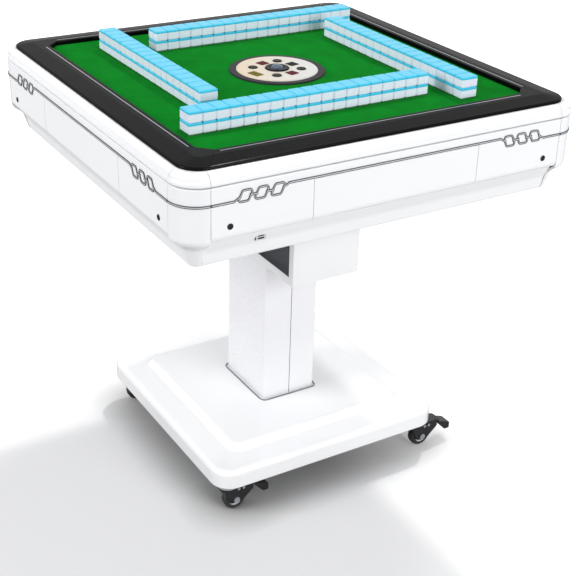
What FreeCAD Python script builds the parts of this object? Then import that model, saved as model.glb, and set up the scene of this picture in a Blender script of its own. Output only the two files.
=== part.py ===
import FreeCAD, Part
import math
import os

# Automatic mahjong table: a square machine head that folds on a single column over a wheeled base.
# Millimetres, +Z up, origin on the floor under the middle of the table. X runs along the front side,
# the front faces -Y. The side order is front, right, back, left, a quarter turn apart about Z.

V = FreeCAD.Vector
UP = V(0, 0, 1)
SIDES = ("front", "right", "back", "left")

# General clearances
overrun = 2.0
run_gap = 0.3
shaft_gap = 0.05
joint_gap = 0.4
casing_seam = 0.9
same_point = 1e-6

# Casters
caster_set_in = 33.0
wheel_radius = 24.0
wheel_width = 18.0
wheel_side_drop = 4.0
wheel_side_step = 1.5
wheel_tread_drop = 1.2
wheel_tread_step = 4.5
hub_radius = 15.0
hub_recess_depth = 2.5
hub_recess_radius = 12.0
axle_radius = 4.0
axle_head_radius = 6.5
axle_head_height = 2.5
crown_lead = 19.0
axle_set_back = 5.0
fork_gap = 1.2
fork_wall = 3.0
fork_nose_radius = 14.0
fork_crown_length = 76.0
fork_crown_height = 5.5
fork_crown_radius = 8.0
rivet_radius = 3.0
rivet_height = 1.2
rivet_spacing = 11.0
king_pin_radius = 6.0
swivel_plate_size = 44.0
swivel_plate_thickness = 2.5
swivel_plate_radius = 8.0
bearing_radius = 21.0
bearing_height = 6.0
brake_pivot_radius = 3.0
brake_pivot_offset = 31.0
brake_pivot_drop = 5.0
brake_arm_thickness = 6.0
brake_arm_length = 13.0
brake_arm_width = 16.0
brake_pedal_length = 25.0
brake_pedal_lip = 15.0
brake_pedal_width = 26.0
brake_pedal_drop_share = 0.45
brake_shoe_run = 7.0
brake_shoe_drop = 15.0
brake_shoe_radius = 2.5

# Base
base_bottom_z = 66.0
base_half = 264.0
base_corner_radius = 42.0
base_edge_height = 42.0
base_top_round = 13.0
base_bottom_round = 4.0
base_wall = 5.0
plateau_set_in = 68.0
plateau_corner_radius = 18.0
plateau_step_height = 13.0
plateau_step_run = 13.0
plateau_soft_radius = 7.0
base_plate_thickness = 5.0

# Column
column_half_x = 62.5
column_half_y = 81.0
column_corner_radius = 7.5
column_shell_wall = 3.0
column_seam_gap = 1.2
post_wall = 4.0
collar_width = 2.2
collar_height = 2.2
collar_bevel = 0.6
collar_stand_off = 4.0

# Fold trough and hinge
trough_half_x = 76.0
trough_half_y = 204.0
trough_floor_z = 449.0
trough_sheet = 3.0
trough_lip = 16.0
trough_flange = 15.0
trough_bend_radius = 2.0
pivot_plate_thickness = 3.0
pivot_plate_margin = 8.0
barrel_radius = 9.0
barrel_stand_off = 2.0
hinge_pin_radius = 5.0
hinge_pin_head_radius = 7.0
hinge_pin_head_height = 3.0
trough_barrel_margin = 14.0
trough_barrel_length = 40.0
head_barrel_length = 90.0

# Head casing
tray_bottom_z = 637.0
casing_overhang = 17.0
casing_corner_radius = 50.0
tray_height = 53.0
tray_top_inset = 12.0
tray_waist_inset = 27.0
tray_waist_height = 27.0
tray_bottom_inset = 33.0
tray_bottom_round = 7.0
tray_cove_radius = 30.0
tray_wall = 4.0
tray_ledge_inset = 25.0
corner_cove_inset = 21.0
corner_cove_drop = 15.0
corner_cove_radius = 20.0
corner_roll_radius = 15.0
panel_height = 97.0
panel_wall = 4.0
panel_bottom_round = 13.0
panel_top_round = 2.0
panel_foot = 5.0
gap_height = 2.2
gap_depth = 9.0
ring_height = 21.8
ring_bulge = 1.0
ring_top_inset = 13.0
ring_top_radius = 5.0
ring_shoulder_inset = 3.5
ring_shoulder_drop = 7.5
ring_shoulder_radius = 6.0
ring_cove_inset = 2.5
ring_cove_drop = 13.5
ring_cove_radius = 4.0
ring_lip_drop = 16.0
ring_lip_radius = 1.6
ring_lower_radius = 2.4

# Rim
rim_width = 55.0
rim_height = 10.0
rim_nose_height = 5.0
rim_nose_radius = 3.5
rim_slope_run = 34.0
rim_corner_radius = 40.0
rim_crest_corner_radius = 8.0
rim_inner_chamfer = 23.0
rim_inner_round = 2.0
rim_joint_outer_inset = 42.0
inlay_width = 2.0
inlay_depth = 1.0
inlay_set_in = 8.5
inlay_end_margin = 5.0

# Table board and cloth
board_thickness = 14.0
board_edge_gap = 2.0
felt_thickness = 1.5
felt_edge_gap = 0.4

# Tiles and lifts
tile_width = 25.7
tile_length = 36.0
tile_thickness = 20.0
tile_gap = 0.3
tile_edge = 1.4
tile_layers = 2
discard_half = 212.8
lift_turn_gap = 26.8
lift_end_margin = 7.0
field_margin = 19.0
lift_plate_thickness = 6.0
lift_margin = 0.6
lift_slot_gap = 0.9
lift_rod_radius = 5.0
lift_rod_length = 100.0
lift_rod_share = 0.34
lift_stack_count = 19
front_stack_count = 19
right_stack_count = 18
back_stack_count = 18
left_stack_count = 17
wall_set_in = {"front": 5.0, "right": 20.0, "back": 10.0, "left": 38.0}

# Chip drawers
drawer_link_gap = 99.0
drawer_seam = 0.9
drawer_front_thickness = 8.0
drawer_front_round = 1.5
drawer_front_return = 18.0
drawer_box_inset = 11.0
drawer_box_top_drop = 10.0
drawer_lift_gap = 14.0
drawer_wall = 3.0
drawer_rail_width = 10.0
drawer_rail_end_gap = 3.0

# Chain ornament
trim_height = 4.2
trim_proud = 1.4
trim_top_drop = 15.4
trim_step = 14.0
link_pitch = 30.0
link_count = 3
link_seam_gap = 92.0
link_width = 23.5
link_height = 23.0
link_slant = 11.0
link_corner_radius = 6.0
link_line = 3.8
trim_ramp_run = 9.0

# Sockets
plug_seam_gap = 35.0
plug_rise = 26.0
plug_radius = 5.5
plug_dish_radius = 3.8
plug_dish_depth = 1.2
plug_proud = 0.6
plug_depth = 12.0
usb_seam_gap = 103.0
usb_width = 19.0
usb_height = 11.0
usb_depth = 11.0
usb_drop = 14.0
usb_proud = 1.5
usb_slot_width = 12.0
usb_slot_height = 2.6
usb_slot_depth = 7.0
usb_slot_pitch = 4.6
inlet_x = -150.0
inlet_y = 180.0
inlet_width = 28.0
inlet_length = 22.0
inlet_depth = 26.0
inlet_flange = 5.0
inlet_flange_thickness = 2.0
inlet_wall = 3.0
inlet_pin_width = 2.0
inlet_pin_length = 5.0
inlet_pin_pitch = 6.0
inlet_pin_recess = 7.0

# Chassis inside the head
chassis_bar = 24.0
chassis_bar_height = 20.0
chassis_post_overlap = 18.0
lift_guide_height = 18.0
guide_column_radius = 22.0
guide_column_gap = 27.0

# Centre disc
disc_radius = 79.5
disc_thickness = 12.5
disc_rise = 4.5
disc_edge_bevel = 1.5
disc_turn_deg = -31.0
stem_radius = 16.0
stem_engagement = 80.0
surround_radius = 94.0
surround_flange_height = 3.0
surround_flange_bevel = 1.8
surround_wall = 4.0
surround_seat = 4.0
surround_seat_height = 7.0
button_radius = 9.5
button_ring_radius = 47.0
button_height = 8.0
button_proud = 1.6
button_bevel = 1.2
button_travel = 2.5
dome_radius = 13.2
dome_height = 8.0
dome_wall = 1.2
dome_seat_depth = 5.0
bezel_radius = 24.0
bezel_height = 2.4
bezel_bevel = 1.6
die_size = 7.0
window_ring_radius = 41.0
window_size = 19.0
window_long = 27.0
window_short = 17.0
window_outer_ring_radius = 58.0
window_thickness = 0.9

# Shuffle unit
turntable_bowl_gap = 5.0
turntable_thickness = 8.0
turntable_rise = 63.0
turntable_lip_height = 10.0
turntable_lip_width = 4.0
turntable_hub_radius = 40.0
bowl_lift_gap = 13.8
bowl_wall = 4.0
bowl_flange_height = 7.0
bowl_flange = 10.0
motor_radius = 62.0
motor_can_radius = 20.0
motor_can_start_share = 0.9
motor_can_length = 80.0
board_box_x = -200.0
board_box_y = 70.0
board_box_length = 110.0
board_box_width = 84.0
board_box_stand_off = 2.0
board_chip_size = 22.0
board_chip_height = 9.0
board_corner_shares = (0.1, 0.9)
board_chip_shares = (0.3, 0.7)

# Worked-out heights and places: base
caster_offset = base_half - caster_set_in
plateau_half = base_half - plateau_set_in
axle_z = wheel_radius
swivel_plate_z = base_bottom_z - swivel_plate_thickness
bearing_z = swivel_plate_z - bearing_height
crown_top_z = bearing_z - run_gap
crown_bottom_z = crown_top_z - fork_crown_height
fork_half_gap = wheel_width / 2 + fork_gap
fork_half_width = fork_half_gap + fork_wall
brake_pivot_z = crown_bottom_z - brake_pivot_drop
base_edge_z = base_bottom_z + base_edge_height
plateau_z = base_edge_z + plateau_step_height
column_foot_z = plateau_z
column_top_z = trough_floor_z
post_half_x = column_half_x - column_shell_wall - run_gap
post_half_y = column_half_y - column_shell_wall - run_gap
post_radius = column_corner_radius - column_shell_wall
pivot_plate_z = tray_bottom_z - pivot_plate_thickness
trough_top_z = pivot_plate_z - run_gap
trough_barrel_end = trough_half_y - trough_barrel_margin
head_barrel_end = trough_barrel_end - trough_barrel_length
head_barrel_start = head_barrel_end - head_barrel_length
hinge_x = trough_half_x + barrel_radius + barrel_stand_off
hinge_z = pivot_plate_z - barrel_radius

# Worked-out plan of the head: the walls of tiles set the lifts, the lifts the field, the field the casing
tile_pitch = tile_width + tile_gap
lift_length = lift_stack_count * tile_pitch + 2 * lift_end_margin
lift_inner_face = discard_half
lift_outer_face = discard_half + tile_length + 2 * lift_margin
lift_middle_d = (lift_outer_face + lift_inner_face) / 2
lift_end = discard_half - lift_turn_gap
lift_start = lift_end - lift_length
rim_inner_half = field_margin - lift_start
rim_half = rim_inner_half + rim_width
rim_joint_outer = rim_half - rim_joint_outer_inset
rim_joint_inner = rim_inner_half - rim_inner_chamfer
casing_half = rim_half + casing_overhang
corner_centre = casing_half - casing_corner_radius
tray_top_half = casing_half - tray_top_inset
tray_waist_half = casing_half - tray_waist_inset
tray_bottom_half = casing_half - tray_bottom_inset
tray_ledge_half = casing_half - tray_ledge_inset
corner_cove_half = casing_half - corner_cove_inset
ring_top_half = casing_half - ring_top_inset
ring_shoulder_half = casing_half - ring_shoulder_inset
ring_cove_half = casing_half - ring_cove_inset
board_half = tray_ledge_half - board_edge_gap
link_middle_u = corner_centre - link_seam_gap
drawer_half_width = link_middle_u - drawer_link_gap
drawer_box_inner_d = lift_outer_face + drawer_lift_gap
drawer_rail_outer_d = tray_bottom_half - tray_wall - tray_bottom_round - drawer_rail_end_gap
plug_u = corner_centre - plug_seam_gap
usb_u = usb_seam_gap - corner_centre
chassis_bar_d = lift_middle_d
chassis_post_d = rim_inner_half + chassis_post_overlap
surround_inner_radius = disc_radius + run_gap
surround_sleeve_radius = surround_inner_radius + surround_wall
bowl_radius = discard_half - bowl_lift_gap
turntable_radius = bowl_radius - bowl_wall - turntable_bowl_gap

# Worked-out heights of the head
tray_floor_z = tray_bottom_z + tray_wall
tray_top_z = tray_bottom_z + tray_height
panel_top_z = tray_top_z + panel_height
ring_bottom_z = panel_top_z + gap_height
ring_top_z = ring_bottom_z + ring_height
board_top_z = ring_top_z
board_bottom_z = board_top_z - board_thickness
felt_top_z = board_top_z + felt_thickness
rim_bottom_z = ring_top_z
rim_top_z = rim_bottom_z + rim_height
trim_mid_z = panel_top_z - trim_top_drop
trim_end_z = trim_mid_z - trim_step
drawer_bottom_z = tray_top_z + panel_bottom_round
drawer_top_z = trim_mid_z - trim_height / 2
drawer_front_low_z = tray_top_z + drawer_seam
drawer_rail_top_z = drawer_bottom_z + drawer_seam
drawer_floor_z = drawer_rail_top_z + run_gap
plug_z = tray_top_z + plug_rise
usb_z = tray_top_z - usb_drop
lift_top_z = felt_top_z
lift_bottom_z = lift_top_z - lift_plate_thickness
chassis_floor_z = tray_floor_z
chassis_bar_top_z = chassis_floor_z + chassis_bar_height
lift_rod_bottom_z = lift_bottom_z - lift_rod_length
lift_guide_z = lift_rod_bottom_z - lift_guide_height / 4
lift_guide_top_z = lift_guide_z + lift_guide_height
disc_top_z = felt_top_z + disc_rise
disc_bottom_z = disc_top_z - disc_thickness
guide_column_top_z = board_bottom_z - guide_column_gap
stem_bottom_z = guide_column_top_z - stem_engagement
turntable_z = tray_bottom_z + turntable_rise
bowl_top_z = board_bottom_z - bowl_flange_height


def box(low, high):
    """Box between two opposite corners."""
    size = high - low
    return Part.makeBox(size.x, size.y, size.z, low)


def bar(middle, size):
    """Box of a given size whose bottom face is centred on a point."""
    return Part.makeBox(size.x, size.y, size.z, V(middle.x - size.x / 2, middle.y - size.y / 2, middle.z))


def rod(radius, start, end):
    """Round bar from one point to another."""
    along = end - start
    return Part.makeCylinder(radius, along.Length, start, along)


def outline(points, radii, place):
    """Closed wire through corner points, each rounded by its own radius, set in space by place."""
    corners = [V(a, b, 0) for a, b in points]
    stretches = []
    for i, here in enumerate(corners):
        before = (corners[i - 1] - here).normalize()
        after = (corners[(i + 1) % len(corners)] - here).normalize()
        half_angle = before.getAngle(after) / 2
        reach = radii[i] / math.tan(half_angle)
        inward = (before + after).normalize()
        middle = here + inward * (radii[i] / math.sin(half_angle) - radii[i])
        stretches.append((here + before * reach, middle, here + after * reach))
    edges = []
    for i, (start, middle, end) in enumerate(stretches):
        last = stretches[i - 1][2]
        if (start - last).Length > same_point:
            edges.append(Part.LineSegment(place(last), place(start)).toShape())
        if radii[i] > 0:
            edges.append(Part.Arc(place(start), place(middle), place(end)).toShape())
    return Part.Wire(edges)


def plan(points, radii, z):
    """Face of a horizontal outline at a height."""
    return Part.Face(outline(points, radii, lambda p: V(p.x, p.y, z)))


def rectangle(half_x, half_y):
    """Corner points of a rectangle about the table's axis."""
    return [(-half_x, -half_y), (half_x, -half_y), (half_x, half_y), (-half_x, half_y)]


def slab(half_x, half_y, radius, z, height):
    """Upright block with a rounded rectangle for its plan."""
    return plan(rectangle(half_x, half_y), [radius] * 4, z).extrude(UP * height)


def section(points, radii, u):
    """Face of a side's cross-section, given as distance from the middle and height, at u along the front."""
    return Part.Face(outline(points, radii, lambda p: V(u, -p.x, p.y)))


def rail(points, radii, start, end):
    """Straight length of a cross-section along the front side."""
    return section(points, radii, start).extrude(V(end - start, 0, 0))


def corner(points, radii):
    """Quarter turn of a cross-section round the front left corner."""
    face = section(points, radii, -corner_centre)
    return face.revolve(V(-corner_centre, -corner_centre, 0), UP, -90)


def turned(shape, quarter):
    """Copy of a shape turned by quarter turns about the table's axis."""
    copy = shape.copy()
    copy.rotate(V(0, 0, 0), UP, 90 * quarter)
    return copy


def all_round(shape):
    """Four copies of a shape, one for each side."""
    return [turned(shape, quarter) for quarter in range(4)]


def joined(first, others):
    """One solid from overlapping or touching solids."""
    return first.fuse(others).removeSplitter()


def edges_at(shape, height):
    """Edges that lie level at a height."""
    return [e for e in shape.Edges if abs(e.BoundBox.ZMin - height) + abs(e.BoundBox.ZMax - height) < run_gap / 2]


def save(name, solids):
    """Write one piece, or a group of like pieces, as a node."""
    shape = solids[0] if len(solids) == 1 else Part.makeCompound(solids)
    shape.exportStep("parts/" + name + ".step")


# Base

def base_cover():
    """Moulded white cover: rounded slab, soft step and plateau, hollow underneath."""
    skin = slab(base_half, base_half, base_corner_radius, base_bottom_z, base_edge_height)
    skin = skin.makeFillet(base_top_round, edges_at(skin, base_edge_z))
    skin = skin.makeFillet(base_bottom_round, edges_at(skin, base_bottom_z))
    foot_half = plateau_half + plateau_step_run
    foot = outline(rectangle(foot_half, foot_half), [plateau_corner_radius + plateau_step_run] * 4,
                   lambda p: V(p.x, p.y, base_edge_z))
    head = outline(rectangle(plateau_half, plateau_half), [plateau_corner_radius] * 4,
                   lambda p: V(p.x, p.y, plateau_z))
    plateau = Part.makeLoft([foot, head], True, True)
    skin = joined(skin, [plateau])
    skin = skin.makeFillet(plateau_soft_radius, [e for e in edges_at(skin, plateau_z)])
    hollow_half = base_half - base_wall
    hollow = slab(hollow_half, hollow_half, base_corner_radius - base_wall, base_bottom_z - overrun,
                  base_edge_height - base_wall + overrun)
    hollow = hollow.makeFillet(base_top_round, edges_at(hollow, base_edge_z - base_wall))
    core_half = plateau_half - base_wall
    core = slab(core_half, core_half, plateau_corner_radius, base_bottom_z,
                base_edge_height + plateau_step_height - base_wall)
    post_hole = slab(post_half_x + run_gap, post_half_y + run_gap, post_radius, base_bottom_z,
                     base_edge_height + plateau_step_height + overrun)
    return skin.cut([hollow, core, post_hole])


def base_plate():
    """Steel plate that closes the cover and carries the casters and the post."""
    half = base_half - base_wall - run_gap
    return slab(half, half, base_corner_radius - base_wall, base_bottom_z, base_plate_thickness)


def column_post():
    """Square steel tube from the base plate to the trough, with a cap under the trough floor."""
    foot_z = base_bottom_z + base_plate_thickness
    height = column_top_z - foot_z
    tube = slab(post_half_x, post_half_y, post_radius, foot_z, height)
    bore = slab(post_half_x - post_wall, post_half_y - post_wall, post_radius - post_wall, foot_z - overrun,
                height - post_wall + overrun)
    return tube.cut(bore)


def column_shells():
    """Two half covers that clip round the post and meet in a seam at the front and the back."""
    height = column_top_z - run_gap - column_foot_z
    skin = slab(column_half_x, column_half_y, column_corner_radius, column_foot_z, height)
    bore = slab(post_half_x + run_gap, post_half_y + run_gap, post_radius, column_foot_z - overrun,
                height + 2 * overrun)
    skin = skin.cut(bore)
    halves = []
    for side in (-1, 1):
        near = side * column_seam_gap / 2
        far = side * (column_half_x + overrun)
        half_space = box(V(min(near, far), -column_half_y - overrun, column_foot_z - overrun),
                         V(max(near, far), column_half_y + overrun, column_top_z + overrun))
        halves.append(skin.common(half_space))
    return halves


def column_collar():
    """Bevelled wire ring on the plateau, a little off the foot of the column."""
    inner_x = column_half_x + collar_stand_off
    inner_y = column_half_y + collar_stand_off
    inner_radius = column_corner_radius + collar_stand_off
    outer = slab(inner_x + collar_width, inner_y + collar_width, inner_radius + collar_width, column_foot_z,
                 collar_height)
    inner = slab(inner_x, inner_y, inner_radius, column_foot_z - overrun, collar_height + 2 * overrun)
    bead = outer.cut(inner)
    return bead.makeChamfer(collar_bevel, edges_at(bead, column_foot_z + collar_height))


# Fold trough and hinge

def barrel(radius, start, end):
    """Hinge barrel along Y, not yet bored for the pin."""
    return rod(radius, V(hinge_x, start, hinge_z), V(hinge_x, end, hinge_z))


def pin_bore():
    """Running bore for the hinge pin."""
    reach = trough_half_y + overrun
    return rod(hinge_pin_radius + shaft_gap, V(hinge_x, -reach, hinge_z), V(hinge_x, reach, hinge_z))


def fold_trough():
    """Folded sheet box, open to the left and above, with return lips and hinge barrels on its right wall."""
    outer = box(V(-trough_half_x, -trough_half_y, trough_floor_z), V(trough_half_x, trough_half_y, trough_top_z))
    upright = [e for e in outer.Edges if abs(e.BoundBox.ZLength - (trough_top_z - trough_floor_z)) < run_gap]
    outer = outer.makeFillet(trough_bend_radius, upright)
    inner = box(V(-trough_half_x + trough_sheet, -trough_half_y + trough_sheet, trough_floor_z + trough_sheet),
                V(trough_half_x - trough_sheet, trough_half_y - trough_sheet, trough_top_z - trough_sheet))
    side_mouth = box(V(-trough_half_x - overrun, -trough_half_y + trough_flange, trough_floor_z + trough_lip),
                     V(-trough_half_x + trough_sheet + overrun, trough_half_y - trough_flange,
                       trough_top_z + overrun))
    top_mouth = box(V(-trough_half_x - overrun, -trough_half_y + trough_flange, trough_top_z - 2 * trough_sheet),
                    V(trough_half_x - trough_flange, trough_half_y - trough_flange, trough_top_z + overrun))
    pieces = []
    for start, end in ((-trough_barrel_end, -head_barrel_end - joint_gap),
                       (-head_barrel_start + joint_gap, head_barrel_start - joint_gap),
                       (head_barrel_end + joint_gap, trough_barrel_end)):
        pieces.append(barrel(barrel_radius - run_gap, start, end))
        pieces.append(box(V(trough_half_x - trough_sheet, start, hinge_z - barrel_radius / 2),
                          V(hinge_x, end, hinge_z + barrel_radius / 2)))
    body = outer.cut([inner, side_mouth, top_mouth])
    return joined(body, pieces).cut(pin_bore())


def pivot_plate():
    """Plate under the head that rests on the trough and turns on the hinge pin."""
    left = -trough_half_x + pivot_plate_margin
    half_y = trough_barrel_end
    plate = box(V(left, -half_y, pivot_plate_z), V(hinge_x + barrel_radius, half_y, tray_bottom_z))
    pieces = []
    for side in (-1, 1):
        low = min(side * head_barrel_start, side * head_barrel_end)
        high = max(side * head_barrel_start, side * head_barrel_end)
        pieces.append(barrel(barrel_radius, low, high))
        pieces.append(box(V(hinge_x - barrel_radius / 2, low, hinge_z),
                          V(hinge_x + barrel_radius, high, pivot_plate_z)))
    return joined(plate, pieces).cut(pin_bore())


def fold_hinge_pin():
    """Steel pin through all the barrels, with a head at each end."""
    shank = rod(hinge_pin_radius, V(hinge_x, -trough_barrel_end, hinge_z), V(hinge_x, trough_barrel_end, hinge_z))
    heads = []
    for side in (-1, 1):
        start = V(hinge_x, side * trough_barrel_end, hinge_z)
        heads.append(rod(hinge_pin_head_radius, start, start + V(0, side * hinge_pin_head_height, 0)))
    return joined(shank, heads)


# Casters

def caster_mount(x, y):
    """Swivel plate, bearing dish and king pin fixed under the base plate."""
    plate = slab(swivel_plate_size / 2, swivel_plate_size / 2, swivel_plate_radius, swivel_plate_z,
                 swivel_plate_thickness)
    dish = rod(bearing_radius, V(0, 0, bearing_z), V(0, 0, swivel_plate_z))
    pin = rod(king_pin_radius, V(0, 0, crown_bottom_z), V(0, 0, bearing_z))
    mount = joined(plate, [dish, pin])
    mount.translate(V(x, y, 0))
    return mount


def caster_fork(x, y):
    """Black fork: crown over the wheel and two cheeks that taper to the axle, with axle and rivets."""
    crown = slab(fork_crown_length / 2, fork_half_width, fork_crown_radius, crown_bottom_z, fork_crown_height)
    cheeks = []
    reach = fork_crown_length / 2 - fork_crown_radius / 2
    top = crown_top_z - fork_crown_height / 2
    low = axle_z - axle_head_radius
    side_shape = [(-reach, top), (-axle_set_back - fork_nose_radius, low), (-axle_set_back + fork_nose_radius, low),
                  (reach, brake_pivot_z - 2 * brake_pivot_radius), (reach, top)]
    radii = [0, axle_head_radius, axle_head_radius, brake_pivot_radius, 0]
    for side in (-1, 1):
        inner_y = side * fork_half_gap
        face = Part.Face(outline(side_shape, radii, lambda p: V(p.x, inner_y, p.y)))
        cheeks.append(face.extrude(V(0, side * fork_wall, 0)))
    body = joined(crown, cheeks)
    king_bore = rod(king_pin_radius + shaft_gap, V(-crown_lead, 0, crown_bottom_z - overrun),
                    V(-crown_lead, 0, crown_top_z + overrun))
    axle_bore = rod(axle_radius, V(-axle_set_back, -fork_half_width - overrun, axle_z),
                    V(-axle_set_back, fork_half_width + overrun, axle_z))
    brake_reach = V(0, fork_half_width + overrun, 0)
    brake_pivot = V(brake_pivot_offset, 0, brake_pivot_z)
    brake_bore = rod(brake_pivot_radius + shaft_gap, brake_pivot - brake_reach, brake_pivot + brake_reach)
    body = body.cut([king_bore, axle_bore, brake_bore])
    axle = rod(axle_radius, V(-axle_set_back, -fork_half_width, axle_z), V(-axle_set_back, fork_half_width, axle_z))
    caps = []
    rivets = []
    for side in (-1, 1):
        start = V(-axle_set_back, side * fork_half_width, axle_z)
        caps.append(rod(axle_head_radius, start, start + V(0, side * axle_head_height, 0)))
        for step in (0, 1):
            seat = V(step * rivet_spacing, side * fork_half_width, crown_bottom_z - rivet_radius)
            rivets.append(rod(rivet_radius, seat, seat + V(0, side * rivet_height, 0)))
    solids = [body, joined(axle, caps)] + rivets
    for solid in solids:
        solid.translate(V(x + crown_lead, y, 0))
    return solids


def caster_wheel(x, y):
    """Soft tyre on a dished hub, turning on the axle."""
    half = wheel_width / 2
    shoulder = half - wheel_side_step
    tread = half - wheel_tread_step
    profile = [(-half, hub_radius), (half, hub_radius), (half, wheel_radius - wheel_side_drop),
               (shoulder, wheel_radius - wheel_tread_drop), (tread, wheel_radius), (-tread, wheel_radius),
               (-shoulder, wheel_radius - wheel_tread_drop), (-half, wheel_radius - wheel_side_drop)]
    face = Part.Face(outline(profile, [0] * len(profile), lambda p: V(0, p.x, p.y)))
    tyre = face.revolve(V(0, 0, 0), V(0, 1, 0), 360)
    hub = rod(hub_radius, V(0, -half, 0), V(0, half, 0))
    cuts = [rod(axle_radius + shaft_gap, V(0, -half - overrun, 0), V(0, half + overrun, 0))]
    for side in (-1, 1):
        floor_y = side * (half - hub_recess_depth)
        dish = rod(hub_recess_radius, V(0, floor_y, 0), V(0, side * (half + overrun), 0))
        boss = rod(axle_head_radius, V(0, floor_y, 0), V(0, side * (half + overrun), 0))
        cuts.append(dish.cut(boss))
    hub = hub.cut(cuts)
    for solid in (tyre, hub):
        solid.translate(V(x + crown_lead - axle_set_back, y, axle_z))
    return [tyre, hub]


def caster_brake(x, y):
    """Brake pedal: an arm on a cross pin through the cheeks, a shoe by the tyre and a broad sloping tread."""
    pivot = V(brake_pivot_offset, 0, brake_pivot_z)
    arm_end = brake_pivot_offset + brake_arm_length
    half_arm = brake_arm_width / 2
    arm = box(V(brake_pivot_offset, -half_arm, brake_pivot_z - brake_arm_thickness / 2),
              V(arm_end, half_arm, brake_pivot_z + brake_arm_thickness / 2))
    eye = rod(brake_arm_thickness / 2, pivot + V(0, -half_arm, 0), pivot + V(0, half_arm, 0))
    drop = brake_pedal_length * brake_pedal_drop_share
    top = brake_pivot_z + brake_arm_thickness / 2
    tread_shape = [(arm_end - brake_arm_thickness, top), (arm_end + brake_pedal_length, top - drop),
                   (arm_end + brake_pedal_length, top - drop - brake_pedal_lip),
                   (arm_end + brake_pedal_length / 2, top - drop - brake_pedal_lip),
                   (arm_end - brake_arm_thickness, top - brake_arm_thickness)]
    face = Part.Face(outline(tread_shape, [0, brake_pivot_radius, brake_pivot_radius, brake_pivot_radius, 0],
                             lambda p: V(p.x, -brake_pedal_width / 2, p.y)))
    tread = face.extrude(V(0, brake_pedal_width, 0))
    pin = rod(brake_pivot_radius, pivot + V(0, -fork_half_width, 0), pivot + V(0, fork_half_width, 0))
    tip = pivot + V(-brake_shoe_run, 0, -brake_shoe_drop)
    shoe_end = rod(brake_shoe_radius, tip + V(0, -half_arm, 0), tip + V(0, half_arm, 0))
    shoe_shape = [(pivot.x - brake_arm_thickness / 2, pivot.z), (tip.x - brake_shoe_radius, tip.z),
                  (tip.x + brake_shoe_radius, tip.z), (pivot.x + brake_arm_thickness / 2, pivot.z)]
    shoe_face = Part.Face(outline(shoe_shape, [0] * len(shoe_shape), lambda p: V(p.x, -half_arm, p.y)))
    shoe = shoe_face.extrude(V(0, brake_arm_width, 0))
    pedal = joined(arm, [eye, tread, pin, shoe_end, shoe])
    pedal.translate(V(x + crown_lead, y, 0))
    return pedal


# Head casing

def tray_section():
    """Cross-section of the tray's wall, from its ledge down the cove to the floor."""
    points = [(tray_ledge_half, tray_top_z), (tray_top_half, tray_top_z),
              (tray_waist_half, tray_bottom_z + tray_waist_height), (tray_bottom_half, tray_bottom_z),
              (corner_centre - overrun, tray_bottom_z), (corner_centre - overrun, tray_floor_z),
              (tray_bottom_half - tray_wall - tray_bottom_round, tray_floor_z),
              (tray_waist_half - tray_wall, tray_bottom_z + tray_waist_height)]
    radii = [0, 0, tray_cove_radius, tray_bottom_round, 0, 0, 0, 0]
    return points, radii


def cover_section():
    """Cross-section of a corner cover: panel face, rolled under-edge, cove and tray floor in one moulding."""
    inner = casing_half - panel_wall
    cove_z = tray_top_z - corner_cove_drop
    points = [(tray_ledge_half, panel_top_z), (tray_ledge_half, panel_top_z - panel_wall),
              (inner, panel_top_z - panel_wall), (inner, tray_top_z + panel_wall),
              (corner_cove_half - panel_wall, cove_z),
              (tray_bottom_half - tray_wall - tray_bottom_round, tray_floor_z), (corner_centre, tray_floor_z),
              (corner_centre, tray_bottom_z), (tray_bottom_half, tray_bottom_z), (corner_cove_half, cove_z),
              (casing_half, tray_top_z), (casing_half, panel_top_z)]
    radii = [0, 0, 0, corner_roll_radius - panel_wall, 0, 0, 0, 0, tray_bottom_round, corner_cove_radius,
             corner_roll_radius, panel_top_round]
    return points, radii


def head_tray():
    """Bottom tray with coved walls between the corner covers, cut for the USB socket and the mains inlet."""
    points, radii = tray_section()
    seam = corner_centre - casing_seam
    wall = rail(points, radii, -seam, seam)
    floor = box(V(-seam, -seam, tray_bottom_z), V(seam, seam, tray_floor_z))
    tray = joined(floor, all_round(wall))
    usb_hole = usb_block(run_gap)
    inlet_hole = box(V(inlet_x - inlet_width / 2, inlet_y - inlet_length / 2, tray_bottom_z - overrun),
                     V(inlet_x + inlet_width / 2, inlet_y + inlet_length / 2, tray_floor_z + overrun))
    return tray.cut([usb_hole, inlet_hole])


def panel_section():
    """Cross-section of a side panel: flat face, rolled lower edge over a seam, and two flanges."""
    inner = casing_half - panel_wall
    foot = tray_ledge_half + panel_foot
    low = tray_top_z + casing_seam
    points = [(tray_ledge_half, tray_top_z), (foot, tray_top_z), (foot, low), (casing_half, low),
              (casing_half, panel_top_z), (tray_ledge_half, panel_top_z), (tray_ledge_half, panel_top_z - panel_wall),
              (inner, panel_top_z - panel_wall), (inner, low + panel_wall), (tray_ledge_half, low + panel_wall)]
    radii = [0, 0, 0, panel_bottom_round, panel_top_round, 0, 0, 0, panel_bottom_round - panel_wall, 0]
    return points, radii


def casing_panels():
    """Four side panels with their drawer mouths and plug holes, and four corner covers."""
    points, radii = panel_section()
    seam = corner_centre - casing_seam
    panel = rail(points, radii, -seam, seam)
    mouth = box(V(-drawer_half_width, -casing_half - overrun, tray_top_z - overrun),
                V(drawer_half_width, -tray_ledge_half + overrun, drawer_top_z))
    cuts = [mouth]
    for u in (-plug_u, plug_u):
        cuts.append(rod(plug_radius, V(u, -casing_half - overrun, plug_z), V(u, -tray_ledge_half, plug_z)))
    panel = panel.cut(cuts)
    return all_round(panel) + all_round(corner(*cover_section()))


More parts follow.
